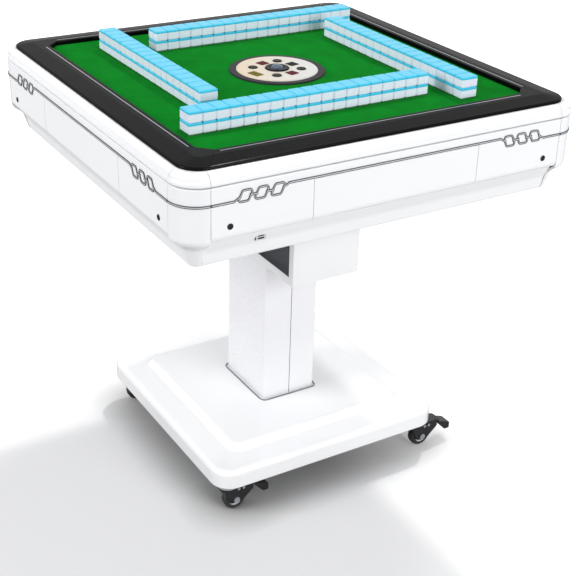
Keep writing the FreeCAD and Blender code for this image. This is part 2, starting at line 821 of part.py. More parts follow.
def ring_section():
    """Cross-section of the white top ring: shadow gap, lip, cove, round shoulder and a flat seat for the rim."""
    outer = casing_half + ring_bulge
    points = [(tray_ledge_half, panel_top_z), (casing_half - gap_depth, panel_top_z),
              (casing_half - gap_depth, ring_bottom_z), (outer, ring_bottom_z), (outer, ring_top_z - ring_lip_drop),
              (ring_cove_half, ring_top_z - ring_cove_drop), (ring_shoulder_half, ring_top_z - ring_shoulder_drop),
              (ring_top_half, ring_top_z), (tray_ledge_half, ring_top_z)]
    radii = [0, 0, 0, ring_lower_radius, ring_lip_radius, ring_cove_radius, ring_shoulder_radius,
             ring_top_radius, 0]
    return points, radii


def top_ring():
    """Four straight ring rails and four ring corners."""
    points, radii = ring_section()
    seam = corner_centre - casing_seam
    return all_round(rail(points, radii, -seam, seam)) + all_round(corner(points, radii))


def rim_inner_outline(half, grow, z):
    """Chamfered square of the playing field."""
    a = half + grow
    c = half - rim_inner_chamfer + grow * (math.sqrt(2) - 1)
    points = [(-c, -a), (c, -a), (a, -c), (a, c), (c, a), (-c, a), (-a, c), (-a, -c)]
    return plan(points, [0] * len(points), z)


def rim_body():
    """Whole black rim before it is split: rounded nose, sloping face, flat crest and inner wall."""
    nose = slab(rim_half, rim_half, rim_corner_radius, rim_bottom_z, rim_nose_height)
    crest_half = rim_half - rim_slope_run
    low = outline(rectangle(rim_half, rim_half), [rim_corner_radius] * 4,
                  lambda p: V(p.x, p.y, rim_bottom_z + rim_nose_height))
    high = outline(rectangle(crest_half, crest_half), [rim_crest_corner_radius] * 4,
                   lambda p: V(p.x, p.y, rim_top_z))
    body = joined(nose, [Part.makeLoft([low, high], True, True)])
    body = body.makeFillet(rim_nose_radius, edges_at(body, rim_bottom_z + rim_nose_height))
    field = rim_inner_outline(rim_inner_half, 0, rim_bottom_z - overrun)
    body = body.cut(field.extrude(UP * (rim_height + 2 * overrun)))
    crest_edges = [e for e in edges_at(body, rim_top_z) if e.BoundBox.Center.Length - rim_top_z < 0 or
                   max(abs(e.BoundBox.Center.x), abs(e.BoundBox.Center.y)) < rim_inner_half + rim_inner_round]
    return body.makeFillet(rim_inner_round, crest_edges)


def rim_rail_space(gap):
    """Space of the front rail between its two slanting joints."""
    inner = rim_joint_inner - gap
    outer = rim_joint_outer - gap
    slope = (rim_joint_outer - rim_joint_inner) / (rim_half - rim_inner_half)
    near = rim_inner_half - overrun
    far = rim_half + overrun
    points = [(-outer - slope * overrun, -far), (outer + slope * overrun, -far),
              (inner - slope * overrun, -near), (-inner + slope * overrun, -near)]
    return plan(points, [0] * 4, rim_bottom_z - overrun).extrude(UP * (rim_height + 2 * overrun))


def inlay_bar(grow):
    """Bright strip near the inner edge of the front rail; grow opens its groove."""
    half = rim_joint_inner - inlay_end_margin + grow
    d = rim_inner_half + inlay_set_in
    top = rim_top_z + overrun if grow else rim_top_z
    return box(V(-half, -d - inlay_width - grow, rim_top_z - inlay_depth - grow), V(half, -d + grow, top))


def rim_pieces():
    """Four rim rails with inlay grooves, and four rim corners."""
    body = rim_body()
    rail_piece = body.common(rim_rail_space(joint_gap / 2)).cut(inlay_bar(shaft_gap))
    corners = body.cut(all_round(rim_rail_space(-joint_gap / 2)))
    return all_round(rail_piece), corners.Solids


# Table top

def lift_slot(z, height):
    """Opening for the front lift in the board and the cloth."""
    return box(V(lift_start - lift_slot_gap, -lift_outer_face - lift_slot_gap, z),
               V(lift_end + lift_slot_gap, -lift_inner_face + lift_slot_gap, z + height))


def table_board():
    """Wooden table board with four lift slots and the hole for the centre disc."""
    board = slab(board_half, board_half, casing_corner_radius, board_bottom_z, board_thickness)
    cuts = all_round(lift_slot(board_bottom_z - overrun, board_thickness + 2 * overrun))
    cuts.append(rod(surround_sleeve_radius + run_gap, V(0, 0, board_bottom_z - overrun),
                    V(0, 0, board_top_z + overrun)))
    return board.cut(cuts)


def playing_felt():
    """Cloth glued to the board inside the rim."""
    cloth = rim_inner_outline(rim_inner_half, -felt_edge_gap, board_top_z).extrude(UP * felt_thickness)
    cuts = all_round(lift_slot(board_top_z - overrun, felt_thickness + 2 * overrun))
    cuts.append(rod(surround_sleeve_radius + run_gap, V(0, 0, board_top_z - overrun),
                    V(0, 0, felt_top_z + overrun)))
    return cloth.cut(cuts)


# Tiles and lifts

def rod_places():
    """Places of a lift's two guide rods along its side."""
    middle = (lift_start + lift_end) / 2
    return [middle - lift_rod_share * lift_length, middle + lift_rod_share * lift_length]


def tile_lift():
    """Plate that raises a wall of tiles, on two guide rods."""
    plate = box(V(lift_start, -lift_outer_face, lift_bottom_z), V(lift_end, -lift_inner_face, lift_top_z))
    rods = []
    for u in rod_places():
        foot = V(u, -lift_middle_d, lift_rod_bottom_z)
        rods.append(rod(lift_rod_radius, foot, foot + UP * lift_rod_length))
    return joined(plate, rods)


def tile():
    """One tile lying on its face, with bevelled upper edges."""
    block = bar(V(0, 0, 0), V(tile_width, tile_length, tile_thickness))
    return block.makeChamfer(tile_edge, edges_at(block, tile_thickness))


def tile_wall(stack_count, start):
    """Double row of tiles on the front lift."""
    pattern = tile()
    solids = []
    for column in range(stack_count):
        for layer in range(tile_layers):
            copy = pattern.copy()
            copy.translate(V(start + (column + 1 / 2) * tile_pitch, -lift_middle_d,
                             lift_top_z + tile_gap / 2 + layer * (tile_thickness + tile_gap / 2)))
            solids.append(copy)
    return solids


# Chip drawers

def chip_drawer():
    """Drawer behind the middle of a side: flush front with the panel's rolled edge, tray box and two dividers."""
    half = drawer_half_width - drawer_seam
    front_inner = casing_half - drawer_front_thickness
    back = casing_half - drawer_front_return
    low = drawer_front_low_z
    high = drawer_top_z - drawer_seam
    front_points = [(back, low), (casing_half, low), (casing_half, high), (front_inner, high),
                    (front_inner, low + drawer_front_thickness), (back, low + drawer_front_thickness)]
    front_radii = [0, panel_bottom_round, drawer_front_round, 0, panel_bottom_round - drawer_front_thickness, 0]
    front = rail(front_points, front_radii, -half, half)
    box_half = half - drawer_box_inset
    top = drawer_top_z - drawer_seam - drawer_box_top_drop
    tray = box(V(-box_half, -front_inner, drawer_floor_z), V(box_half, -drawer_box_inner_d, top))
    cell = (2 * box_half - 4 * drawer_wall) / 3
    cells = []
    for index in range(3):
        left = -box_half + drawer_wall + index * (cell + drawer_wall)
        cells.append(box(V(left, -front_inner + drawer_wall, drawer_floor_z + drawer_wall),
                         V(left + cell, -drawer_box_inner_d - drawer_wall, top + overrun)))
    return [front, tray.cut(cells)]


# Chain ornament

def strip(points):
    """Flat strip on the front face, drawn by its corner points along the side and up."""
    face = Part.Face(outline(points, [0] * len(points), lambda p: V(p.x, -casing_half, p.y)))
    return face.extrude(V(0, -trim_proud, 0))


def trim_bar(start, end, z):
    """Level length of the ornament."""
    low = z - trim_height / 2
    return strip([(start, low), (end, low), (end, low + trim_height), (start, low + trim_height)])


def trim_ramp(start, start_z, end, end_z):
    """Slanting length of the ornament between two levels."""
    half = trim_height / 2
    return strip([(start, start_z - half), (end, end_z - half), (end, end_z + half), (start, start_z + half)])


def chain_link(u, lean):
    """Slanting rounded link whose top leans towards the middle of the side."""
    z = (trim_mid_z + trim_end_z) / 2
    shapes = []
    for inset in (0, link_line):
        half_w = link_width / 2 - inset
        half_h = link_height / 2 - inset
        shift = lean * link_slant / 2 * (half_h / (link_height / 2))
        points = [(u - half_w - shift, z - half_h), (u + half_w - shift, z - half_h),
                  (u + half_w + shift, z + half_h), (u - half_w + shift, z + half_h)]
        radius = link_corner_radius - inset
        face = Part.Face(outline(points, [radius] * len(points), lambda p: V(p.x, -casing_half, p.y)))
        shapes.append(face.extrude(V(0, -trim_proud, 0)))
    return shapes[0].cut(shapes[1])


def chain_trims():
    """Ornament of each side: a level strip, three links near each end, low end strips and corner strips."""
    group_half = link_pitch * (link_count - 1) / 2
    reach = link_width / 2
    inner_u = link_middle_u - group_half - reach
    outer_u = link_middle_u + group_half + reach
    seam = corner_centre - casing_seam
    middle = trim_bar(-inner_u + trim_ramp_run, inner_u - trim_ramp_run, trim_mid_z)
    pieces = []
    link_z = (trim_mid_z + trim_end_z) / 2
    for side in (-1, 1):
        pieces.append(trim_ramp(side * (inner_u - trim_ramp_run), trim_mid_z, side * (inner_u + link_line), link_z))
        for index in range(link_count):
            pieces.append(chain_link(side * (link_middle_u + (index - (link_count - 1) / 2) * link_pitch), -side))
        pieces.append(trim_ramp(side * (outer_u - link_line), link_z, side * (outer_u + trim_ramp_run), trim_end_z))
        low_u = side * (outer_u + trim_ramp_run)
        pieces.append(trim_bar(min(low_u, side * seam), max(low_u, side * seam), trim_end_z))
        for index in range(link_count - 1):
            bridge = side * (link_middle_u + (index - (link_count - 2) / 2) * link_pitch)
            pieces.append(trim_bar(bridge - link_pitch / 4, bridge + link_pitch / 4, link_z))
    side_trim = joined(middle, pieces)
    low = trim_end_z - trim_height / 2
    high = low + trim_height
    outer = casing_half + trim_proud
    bend_points = [(casing_half, low), (outer, low), (outer, high), (casing_half, high)]
    bend = corner(bend_points, [0] * len(bend_points))
    return all_round(side_trim) + all_round(bend)


# Sockets

def usb_block(grow):
    """Body of the USB socket on the front of the tray; grow opens its seat."""
    outer_d = tray_top_half + usb_proud - (tray_top_z - usb_z) * (tray_top_half - tray_waist_half) / (
        tray_height - tray_waist_height)
    return box(V(usb_u - usb_width / 2 - grow, -outer_d - grow, usb_z - usb_height / 2 - grow),
               V(usb_u + usb_width / 2 + grow, -outer_d + usb_depth + grow, usb_z + usb_height / 2 + grow))


def sockets_and_plugs():
    """Round dished plugs near the ends of every side, a double USB socket and a mains inlet."""
    plugs = []
    for u in (-plug_u, plug_u):
        face = V(u, -casing_half - plug_proud, plug_z)
        body = rod(plug_radius - shaft_gap, face, face + V(0, plug_depth, 0))
        dish = rod(plug_dish_radius, face - V(0, overrun, 0), face + V(0, plug_dish_depth, 0))
        plugs += all_round(body.cut(dish))
    usb = usb_block(0)
    slots = []
    for side in (-1, 1):
        slot = bar(V(usb_u, usb.BoundBox.YMin + usb_slot_depth / 2 - overrun / 2,
                     usb_z + side * usb_slot_pitch / 2 - usb_slot_height / 2),
                   V(usb_slot_width, usb_slot_depth + overrun, usb_slot_height))
        slots.append(slot)
    usb = usb.cut(slots)
    inlet = bar(V(inlet_x, inlet_y, tray_bottom_z),
                V(inlet_width - 2 * run_gap, inlet_length - 2 * run_gap, inlet_depth))
    flange = bar(V(inlet_x, inlet_y, tray_bottom_z - inlet_flange_thickness),
                 V(inlet_width + 2 * inlet_flange, inlet_length + 2 * inlet_flange, inlet_flange_thickness))
    cavity = bar(V(inlet_x, inlet_y, tray_bottom_z - 2 * inlet_flange_thickness),
                 V(inlet_width - 2 * inlet_wall, inlet_length - 2 * inlet_wall, inlet_depth - inlet_wall))
    inlet = joined(inlet, [flange]).cut(cavity)
    pins = []
    for step in (-1, 0, 1):
        pins.append(bar(V(inlet_x + step * inlet_pin_pitch, inlet_y, tray_bottom_z + inlet_pin_recess),
                        V(inlet_pin_width, inlet_pin_length, inlet_depth - inlet_wall / 2 - inlet_pin_recess)))
    return plugs + [usb, joined(inlet, pins)]


# Inside the head

def chassis_frame():
    """Welded frame on the tray floor: crossing bars, corner posts, lift guides, drawer rails and guide column."""
    cross = box(V(-chassis_post_d, -chassis_bar_d - chassis_bar / 2, chassis_floor_z),
                V(chassis_post_d, -chassis_bar_d + chassis_bar / 2, chassis_bar_top_z))
    outer = box(V(-chassis_post_d, -chassis_post_d, chassis_floor_z),
                V(chassis_post_d, -chassis_post_d + chassis_bar, chassis_bar_top_z))
    post = box(V(-chassis_post_d, -chassis_post_d, chassis_floor_z),
               V(-chassis_post_d + chassis_bar, -chassis_post_d + chassis_bar, board_bottom_z))
    ends = rod_places()
    guide = box(V(ends[0] - chassis_bar, -lift_middle_d - chassis_bar / 2, lift_guide_z),
                V(ends[1] + chassis_bar, -lift_middle_d + chassis_bar / 2, lift_guide_top_z))
    legs = []
    for u in (ends[0] - chassis_bar / 2, ends[1] + chassis_bar / 2):
        side = 1 if u > 0 else -1
        place = u + side * lift_rod_radius
        legs.append(bar(V(place, -lift_middle_d, chassis_floor_z),
                        V(chassis_bar / 2, chassis_bar, lift_guide_top_z - chassis_floor_z)))
    bores = []
    for u in ends:
        bores.append(rod(lift_rod_radius + shaft_gap, V(u, -lift_middle_d, chassis_floor_z + chassis_bar_height),
                         V(u, -lift_middle_d, lift_guide_top_z + overrun)))
    rails = []
    for side in (-1, 1):
        u = side * (drawer_half_width - drawer_seam - drawer_box_inset - drawer_rail_width)
        rails.append(box(V(u - drawer_rail_width / 2, -drawer_rail_outer_d, chassis_floor_z),
                         V(u + drawer_rail_width / 2, -drawer_box_inner_d, drawer_rail_top_z)))
    arm = box(V(guide_column_radius / 2, -chassis_bar / 2, chassis_floor_z),
              V(chassis_bar_d, chassis_bar / 2, chassis_bar_top_z))
    column = rod(guide_column_radius, V(0, 0, chassis_floor_z), V(0, 0, guide_column_top_z))
    stem_bore = rod(stem_radius + shaft_gap, V(0, 0, chassis_bar_top_z), V(0, 0, guide_column_top_z + overrun))
    pieces = []
    for part in [outer, post, guide, arm] + legs + rails:
        pieces += all_round(part)
    frame = joined(cross, all_round(cross)[1:] + pieces + [column])
    cuts = [stem_bore]
    for bore in bores:
        cuts += all_round(bore)
    return frame.cut(cuts)


def turntable():
    """Shuffle turntable: a rimmed disc on a hub that turns round the guide column."""
    low = turntable_z - turntable_thickness
    disc = rod(turntable_radius, V(0, 0, low), V(0, 0, turntable_z))
    lip = rod(turntable_radius, V(0, 0, turntable_z), V(0, 0, turntable_z + turntable_lip_height))
    lip = lip.cut(rod(turntable_radius - turntable_lip_width, V(0, 0, turntable_z),
                      V(0, 0, turntable_z + turntable_lip_height)))
    hub = rod(turntable_hub_radius, V(0, 0, low - turntable_thickness), V(0, 0, low))
    bore = rod(guide_column_radius + shaft_gap, V(0, 0, low - 2 * turntable_thickness),
               V(0, 0, turntable_z + overrun))
    return joined(disc, [lip, hub]).cut(bore)


def shuffle_bowl():
    """Round wall that keeps the tiles on the turntable, hung from the board by a flange."""
    low = turntable_z - turntable_thickness
    wall = rod(bowl_radius, V(0, 0, low), V(0, 0, board_bottom_z))
    flange = rod(bowl_radius + bowl_flange, V(0, 0, bowl_top_z), V(0, 0, board_bottom_z))
    hollow = rod(bowl_radius - bowl_wall, V(0, 0, low - overrun), V(0, 0, board_bottom_z + overrun))
    return joined(wall, [flange]).cut(hollow)


def drive_motor():
    """Ring-shaped gear housing under the turntable with the motor can lying beside it."""
    top = turntable_z - 2 * turntable_thickness - run_gap
    housing = rod(motor_radius, V(0, 0, chassis_bar_top_z), V(0, 0, top))
    can_z = chassis_floor_z + motor_can_radius
    along = V(1, 1, 0).normalize()
    can = rod(motor_can_radius, along * (motor_radius * motor_can_start_share) + V(0, 0, can_z),
              along * (motor_radius + motor_can_length) + V(0, 0, can_z))
    bore = rod(guide_column_radius, V(0, 0, chassis_floor_z), V(0, 0, top + overrun))
    return joined(housing, [can]).cut(bore)


def control_board():
    """Circuit board on stand-offs with its larger parts."""
    board = box(V(board_box_x, board_box_y, chassis_floor_z + board_box_stand_off),
                V(board_box_x + board_box_length, board_box_y + board_box_width,
                  chassis_floor_z + 2 * board_box_stand_off))
    pieces = []
    for share_x in board_corner_shares:
        for share_y in board_corner_shares:
            foot = V(board_box_x + share_x * board_box_length, board_box_y + share_y * board_box_width,
                     chassis_floor_z)
            pieces.append(rod(board_box_stand_off, foot, foot + UP * (2 * board_box_stand_off)))
    for share in board_chip_shares:
        pieces.append(bar(V(board_box_x + share * board_box_length, board_box_y + board_box_width / 2,
                            chassis_floor_z + 2 * board_box_stand_off),
                          V(board_chip_size, board_chip_size, board_chip_height)))
    return joined(board, pieces)


# Centre disc

def disc_surround():
    """Dark ring round the disc: flange on the cloth, sleeve through the board and a seat for the disc."""
    flange = rod(surround_radius, V(0, 0, felt_top_z), V(0, 0, felt_top_z + surround_flange_height))
    flange = flange.makeChamfer(surround_flange_bevel, edges_at(flange, felt_top_z + surround_flange_height))
    seat_z = disc_bottom_z - surround_seat_height
    sleeve = rod(surround_sleeve_radius, V(0, 0, seat_z), V(0, 0, felt_top_z))
    mouth = rod(surround_inner_radius - surround_seat, V(0, 0, seat_z - overrun), V(0, 0, disc_bottom_z))
    well = rod(surround_inner_radius, V(0, 0, disc_bottom_z), V(0, 0, felt_top_z + 2 * surround_flange_height))
    return joined(flange, [sleeve]).cut([mouth, well])


def on_disc(radius, angle, z):
    """Point on the disc at a radius and an angle of its own, in degrees."""
    turn = math.radians(angle + disc_turn_deg)
    return V(radius * math.cos(turn), radius * math.sin(turn), z)


def button_angles():
    """Angles of the four dice buttons on the disc."""
    return [90 * index for index in range(4)]


def control_disc():
    """Panel disc with button wells and a dice pocket, on its lifting stem."""
    disc = rod(disc_radius, V(0, 0, disc_bottom_z), V(0, 0, disc_top_z))
    disc = disc.makeChamfer(disc_edge_bevel, edges_at(disc, disc_top_z))
    well_floor = disc_top_z + button_proud - button_height - button_travel - run_gap
    cuts = []
    for angle in button_angles():
        cuts.append(rod(button_radius + run_gap, on_disc(button_ring_radius, angle, well_floor),
                        on_disc(button_ring_radius, angle, disc_top_z + overrun)))
    cuts.append(rod(dome_radius + run_gap, V(0, 0, disc_top_z - dome_seat_depth), V(0, 0, disc_top_z + overrun)))
    stem = rod(stem_radius, V(0, 0, stem_bottom_z), V(0, 0, disc_bottom_z))
    return joined(disc, [stem]).cut(cuts)


def dice_button(angle):
    """Round push button in its well."""
    top = disc_top_z + button_proud
    cap = rod(button_radius, on_disc(button_ring_radius, angle, top - button_height),
              on_disc(button_ring_radius, angle, top))
    return cap.makeChamfer(button_bevel, edges_at(cap, top))


def dice_bezel():
    """Bevelled black ring round the dice dome."""
    ring = rod(bezel_radius, V(0, 0, disc_top_z), V(0, 0, disc_top_z + bezel_height))
    ring = ring.makeChamfer(bezel_bevel, edges_at(ring, disc_top_z + bezel_height))
    bore = rod(dome_radius + run_gap, V(0, 0, disc_top_z - overrun), V(0, 0, disc_top_z + 2 * bezel_height))
    return ring.cut(bore)


def dome_cap(radius, height, z):
    """Solid of revolution under a round cap of a given rise."""
    rise_radius = (radius * radius + height * height) / (2 * height)
    ball = Part.makeSphere(rise_radius, V(0, 0, z + height - rise_radius))
    return ball.common(rod(radius, V(0, 0, z), V(0, 0, z + height)))


def dice_dome():
    """Clear dome over the dice, seated in the disc's pocket."""
    floor = disc_top_z - dome_seat_depth
    skirt = rod(dome_radius, V(0, 0, floor), V(0, 0, disc_top_z))
    outer = joined(skirt, [dome_cap(dome_radius, dome_height, disc_top_z)])
    inner_radius = dome_radius - dome_wall
    inner = joined(rod(inner_radius, V(0, 0, floor - overrun), V(0, 0, disc_top_z)),
                   [dome_cap(inner_radius, dome_height - dome_wall, disc_top_z)])
    return outer.cut(inner)


def dice():
    """Pair of dice lying in the pocket."""
    floor = disc_top_z - dome_seat_depth
    pair = []
    for side in (-1, 1):
        pair.append(bar(V(side * (die_size / 2 + run_gap), 0, floor), V(die_size, die_size, die_size)))
    return pair


def indicator_windows():
    """Four small windows between the buttons, the last one longer and further out."""
    windows = []
    for index in range(4):
        last = index == 3
        size = V(window_size, window_size, window_thickness)
        if last:
            size = V(window_short, window_long, window_thickness)
        radius = window_outer_ring_radius if last else window_ring_radius
        angle = 45 + 90 * ((index + 3) % 4)
        plate = bar(V(0, 0, disc_top_z), size)
        plate.rotate(V(0, 0, 0), UP, angle + disc_turn_deg)
        plate.translate(on_disc(radius, angle, 0))
        windows.append(plate)
    return windows


def main():
    os.makedirs("parts", exist_ok=True)
    save("base_cover", [base_cover()])
    save("base_plate", [base_plate()])
    save("column_post", [column_post()])
    left_shell, right_shell = column_shells()
    save("column_shell_left", [left_shell])
    save("column_shell_right", [right_shell])
    save("column_collar", [column_collar()])
    save("fold_trough", [fold_trough()])
    save("fold_hinge_pin", [fold_hinge_pin()])
    save("pivot_plate", [pivot_plate()])

    mounts = []
    for depth, sign_y in (("front", -1), ("back", 1)):
        for width, sign_x in (("left", -1), ("right", 1)):
            x = sign_x * caster_offset
            y = sign_y * caster_offset
            place = "_" + depth + "_" + width
            mounts.append(caster_mount(x, y))
            save("caster_fork" + place, caster_fork(x, y))
            save("caster_wheel" + place, caster_wheel(x, y))
            save("caster_brake" + place, [caster_brake(x, y)])
    save("caster_mounts", mounts)

    save("head_tray", [head_tray()])
    save("casing_panels", casing_panels())
    save("top_ring", top_ring())
    rails, corners = rim_pieces()
    save("rim_rails", rails)
    save("rim_corners", corners)
    save("rim_inlays", all_round(inlay_bar(0)))
    save("chain_trims", chain_trims())
    save("sockets_and_plugs", sockets_and_plugs())
    save("table_board", [table_board()])
    save("playing_felt", [playing_felt()])
    save("chassis_frame", [chassis_frame()])

    stack_counts = (front_stack_count, right_stack_count, back_stack_count, left_stack_count)
    for quarter, side in enumerate(SIDES):
        save("chip_drawer_" + side, [turned(solid, quarter) for solid in chip_drawer()])
        save("tile_lift_" + side, [turned(tile_lift(), quarter)])
        wall = tile_wall(stack_counts[quarter], lift_start + wall_set_in[side])
        save("tile_wall_" + side, [turned(solid, quarter) for solid in wall])

    save("turntable", [turntable()])
    save("shuffle_bowl", [shuffle_bowl()])
    save("drive_motor", [drive_motor()])
    save("control_board", [control_board()])

    save("disc_surround", [disc_surround()])
    save("control_disc", [control_disc()])
    save("dice_bezel", [dice_bezel()])
    save("dice_dome", [dice_dome()])
    save("dice", dice())
    save("indicator_windows", indicator_windows())
    for index, angle in enumerate(button_angles()):
        save("dice_button_" + str(index + 1), [dice_button(angle)])


main()
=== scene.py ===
"""Looks of the automatic mahjong table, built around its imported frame."""

import math

import bmesh
import bpy
from bpy.props import FloatProperty, FloatVectorProperty, PointerProperty
from mathutils import Matrix, Vector


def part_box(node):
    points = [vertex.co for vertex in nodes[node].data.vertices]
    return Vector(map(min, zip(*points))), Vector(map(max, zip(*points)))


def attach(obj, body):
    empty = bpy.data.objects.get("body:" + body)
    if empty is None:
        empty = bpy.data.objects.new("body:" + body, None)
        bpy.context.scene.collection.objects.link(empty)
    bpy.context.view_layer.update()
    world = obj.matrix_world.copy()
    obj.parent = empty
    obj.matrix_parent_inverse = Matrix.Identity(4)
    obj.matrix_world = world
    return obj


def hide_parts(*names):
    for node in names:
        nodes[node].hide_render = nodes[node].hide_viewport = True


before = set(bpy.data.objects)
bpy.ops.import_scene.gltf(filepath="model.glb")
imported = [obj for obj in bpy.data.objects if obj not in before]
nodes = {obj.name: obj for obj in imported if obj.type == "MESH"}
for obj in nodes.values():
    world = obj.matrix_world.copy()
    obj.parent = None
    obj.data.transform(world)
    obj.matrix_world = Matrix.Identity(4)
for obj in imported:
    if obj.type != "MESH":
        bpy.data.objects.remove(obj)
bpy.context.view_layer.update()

bl_info = {
    "name": "Automatic mahjong table",
    "version": (1, 0, 0),
    "blender": (4, 5, 0),
    "location": "View3D > Sidebar > Mahjong table",
    "description": "Finishes, cloth, tile walls and studio for the packed mahjong table",
    "category": "Object",
}

SIDES = ("front", "right", "back", "left")
CASTERS = ("front_left", "front_right", "back_left", "back_right")

# Camera: place in metres, angles in degrees, lens and sensor in millimetres
CAMERA_PLACE = (-1.1657, -1.9381, 1.51)
CAMERA_HEADING, CAMERA_TILT, CAMERA_ROLL = -31.9, -27.4, 1.8
CAMERA_LENS, CAMERA_SENSOR = 75.02, 36

# Square softboxes: name, place, target, side in metres and power in watts
LAMPS = (
    ("key_softbox", (4.42, 3.12, 8.8), (0, 0, 0.4), 0.6, 352),
    ("front_fill", (0.9, -4.2, 1.9), (0, 0, 0.45), 2.4, 120),
    ("left_fill", (-4.2, 0.8, 2.8), (0, 0, 0.45), 2.4, 142),
)
WORLD_FILL = 0.47
WHITE = (1, 1, 1, 1)

# Floor: grey it gives back to the part, reach of the contact shadow, middle of the cast shadow, and the distances
# from there between which the floor is lifted to white
FLOOR_BOUNCE = "#bdbdbd"
CONTACT_REACH = 0.095
SHADOW_MIDDLE = (-0.41, -0.31, 0)
WHITE_START, WHITE_END, WHITE_STRENGTH = 0.4, 1.1, 0.85

# Limits that sort the faces of CAD nodes by finish, in metres
FACING = 0.9  # part of a normal along an axis from which a face looks that way
USB_X, USB_HALF_WIDTH = -0.26, 0.011
USB_FRONT_Y, USB_LOW_Z, USB_HIGH_Z = -0.39, 0.669, 0.683
STRIP_PROUD = 0.0012  # the ornament's outer skin stands further out of the casing than this
SEAM_REACH = 0.001  # the column's seam edges are nearer to the middle plane
FORK_CHEEK = 0.01325  # half the width over a fork's cheeks
TREAD_RADIUS, RING_RADIUS = 0.0155, 0.0118  # inner radii of the tread and of the pale ring
LIFT_SKIN = 0.001  # depth below the top of a lift within which its faces carry felt
BOARD_THICKNESS = 0.006  # height over the control board's underside from which its chips start

# Merging of CAD meshes: distance of doubles, angle of flat faces; angle from which cloth edges are softened
DOUBLES = 1e-5
FLAT_ANGLE = math.radians(0.5)
CLOTH_EDGE_ANGLE = math.radians(60)

WARM_REFLECTION_ALONG = (0.85, -0.53, 0)  # direction in which the painted warm reflection on the disc fades


def linear(code):
    """Linear colour from an sRGB hex value."""
    parts = [int(code[i:i + 2], 16) / 255 for i in (1, 3, 5)]
    return [p / 12.92 if p <= 0.04045 else ((p + 0.055) / 1.055) ** 2.4 for p in parts] + [1.0]


def length(name, description, default):
    """Length property in metres."""
    return FloatProperty(name=name, description=description, default=default, min=0.0, unit="LENGTH", precision=4)


def colour(name, description, code):
    """Colour property with an sRGB default."""
    return FloatVectorProperty(name=name, description=description, default=linear(code), size=4,
                               min=0.0, max=1.0, subtype="COLOR")


class TableSizes(bpy.types.PropertyGroup):
    """Sizes of the dressed pieces"""

    tile_pitch: length("Tile pitch", "Width of one tile and the gap beside it", 0.026)
    tile_gap: length("Tile gap", "Joint between neighbouring tiles", 0.0004)
    tile_layer: length("Tile layer", "Height of one tile and the gap over it", 0.02015)
    tile_edge: length("Tile edge", "Width of the softened tile edges", 0.0018)
    tile_back: length("Tile back", "Thickness of the blue backing of a tile", 0.0047)
    trim_edge: length("Trim edge", "Width of the dark border along the ornament strips", 0.0012)
    cloth_thickness: length("Cloth thickness", "Thickness of the playing cloth", 0.0014)
    cloth_roll: length("Cloth roll", "Softness of the cloth's cut edges", 0.0005)
    casing_centre: length("Corner centre", "Distance of the casing's corner centres from the middle", 0.363)
    casing_corner: length("Corner radius", "Radius of the casing's corners in plan", 0.05)
    floor: length("Floor", "Side of the studio floor", 24.0)


class TableColours(bpy.types.PropertyGroup):
    """Colours of the main finishes"""

    casing: colour("Casing", "White of the moulded casing", "#eeeff0")
    casing_shade: colour("Casing shade", "Cooler tone the casing drifts to", "#e9eaec")
    column: colour("Column", "Pale grey of the column covers", "#eeeef0")
    rim: colour("Rim", "Black of the rim", "#080809")
    cloth: colour("Cloth", "Green of the playing cloth", "#01841e")
    cloth_shade: colour("Cloth shade", "Darker green where the nap lies away", "#016d17")
    tile_back: colour("Tile back", "Blue backing of the tiles", "#4accec")
    tile_face: colour("Tile body", "White body of the tiles", "#ecf1ff")
    trim: colour("Trim", "Bright middle of the ornament strips", "#d6d8db")
    trim_border: colour("Trim border", "Dark border of the ornament strips", "#34363a")
    disc: colour("Disc", "Ivory of the centre disc", "#d6d4d0")
    floor: colour("Floor", "Studio floor", "#e4e4e4")


def sizes():
    """Sizes in use."""
    return bpy.context.scene.mahjong_sizes


def colours():
    """Colours in use."""
    return bpy.context.scene.mahjong_colours


# Materials

def add(tree, kind, inputs=(), **settings):
    """Node with its settings; inputs are pairs of socket and value or link."""
    node = tree.nodes.new(kind)
    for key, value in settings.items():
        setattr(node, key, value)
    for key, value in inputs:
        if isinstance(value, bpy.types.NodeSocket):
            tree.links.new(value, node.inputs[key])
        else:
            node.inputs[key].default_value = value
    return node


def begin(name):
    """New material with its tree, shader and object coordinates."""
    material = bpy.data.materials.new(name)
    material.use_nodes = True
    tree = material.node_tree
    place = add(tree, "ShaderNodeTexCoord").outputs["Object"]
    return material, tree, tree.nodes["Principled BSDF"], place


def surface(name, light, dark, roughness, drift, grain, depth, stretch=(1, 1, 1), **fixed):
    """Finish whose colour drifts between two tones and whose grain varies gloss and relief.

    drift and grain are the sizes of the colour patches and of the grain, depth the relief, all in metres.
    """
    material, tree, shader, place = begin(name)
    turned = add(tree, "ShaderNodeMapping", [("Vector", place), ("Scale", stretch)]).outputs[0]
    patches = add(tree, "ShaderNodeTexNoise", [("Vector", turned), ("Scale", 1 / drift), ("Detail", 3.0)])
    tone = add(tree, "ShaderNodeMix", [(0, patches.outputs["Fac"]), (6, dark), (7, light)], data_type="RGBA")
    skin = add(tree, "ShaderNodeTexNoise", [("Vector", turned), ("Scale", 1 / grain), ("Detail", 2.0)])
    gloss = add(tree, "ShaderNodeMapRange", [("Value", skin.outputs["Fac"]), ("To Min", roughness * 0.8),
                                             ("To Max", roughness * 1.2)])
    relief = add(tree, "ShaderNodeBump", [("Height", skin.outputs["Fac"]), ("Distance", depth),
                                          ("Strength", 0.5)])
    tree.links.new(tone.outputs[2], shader.inputs["Base Color"])
    tree.links.new(gloss.outputs[0], shader.inputs["Roughness"])
    tree.links.new(relief.outputs[0], shader.inputs["Normal"])
    for key, value in fixed.items():
        shader.inputs[key.replace("_", " ")].default_value = value
    return material


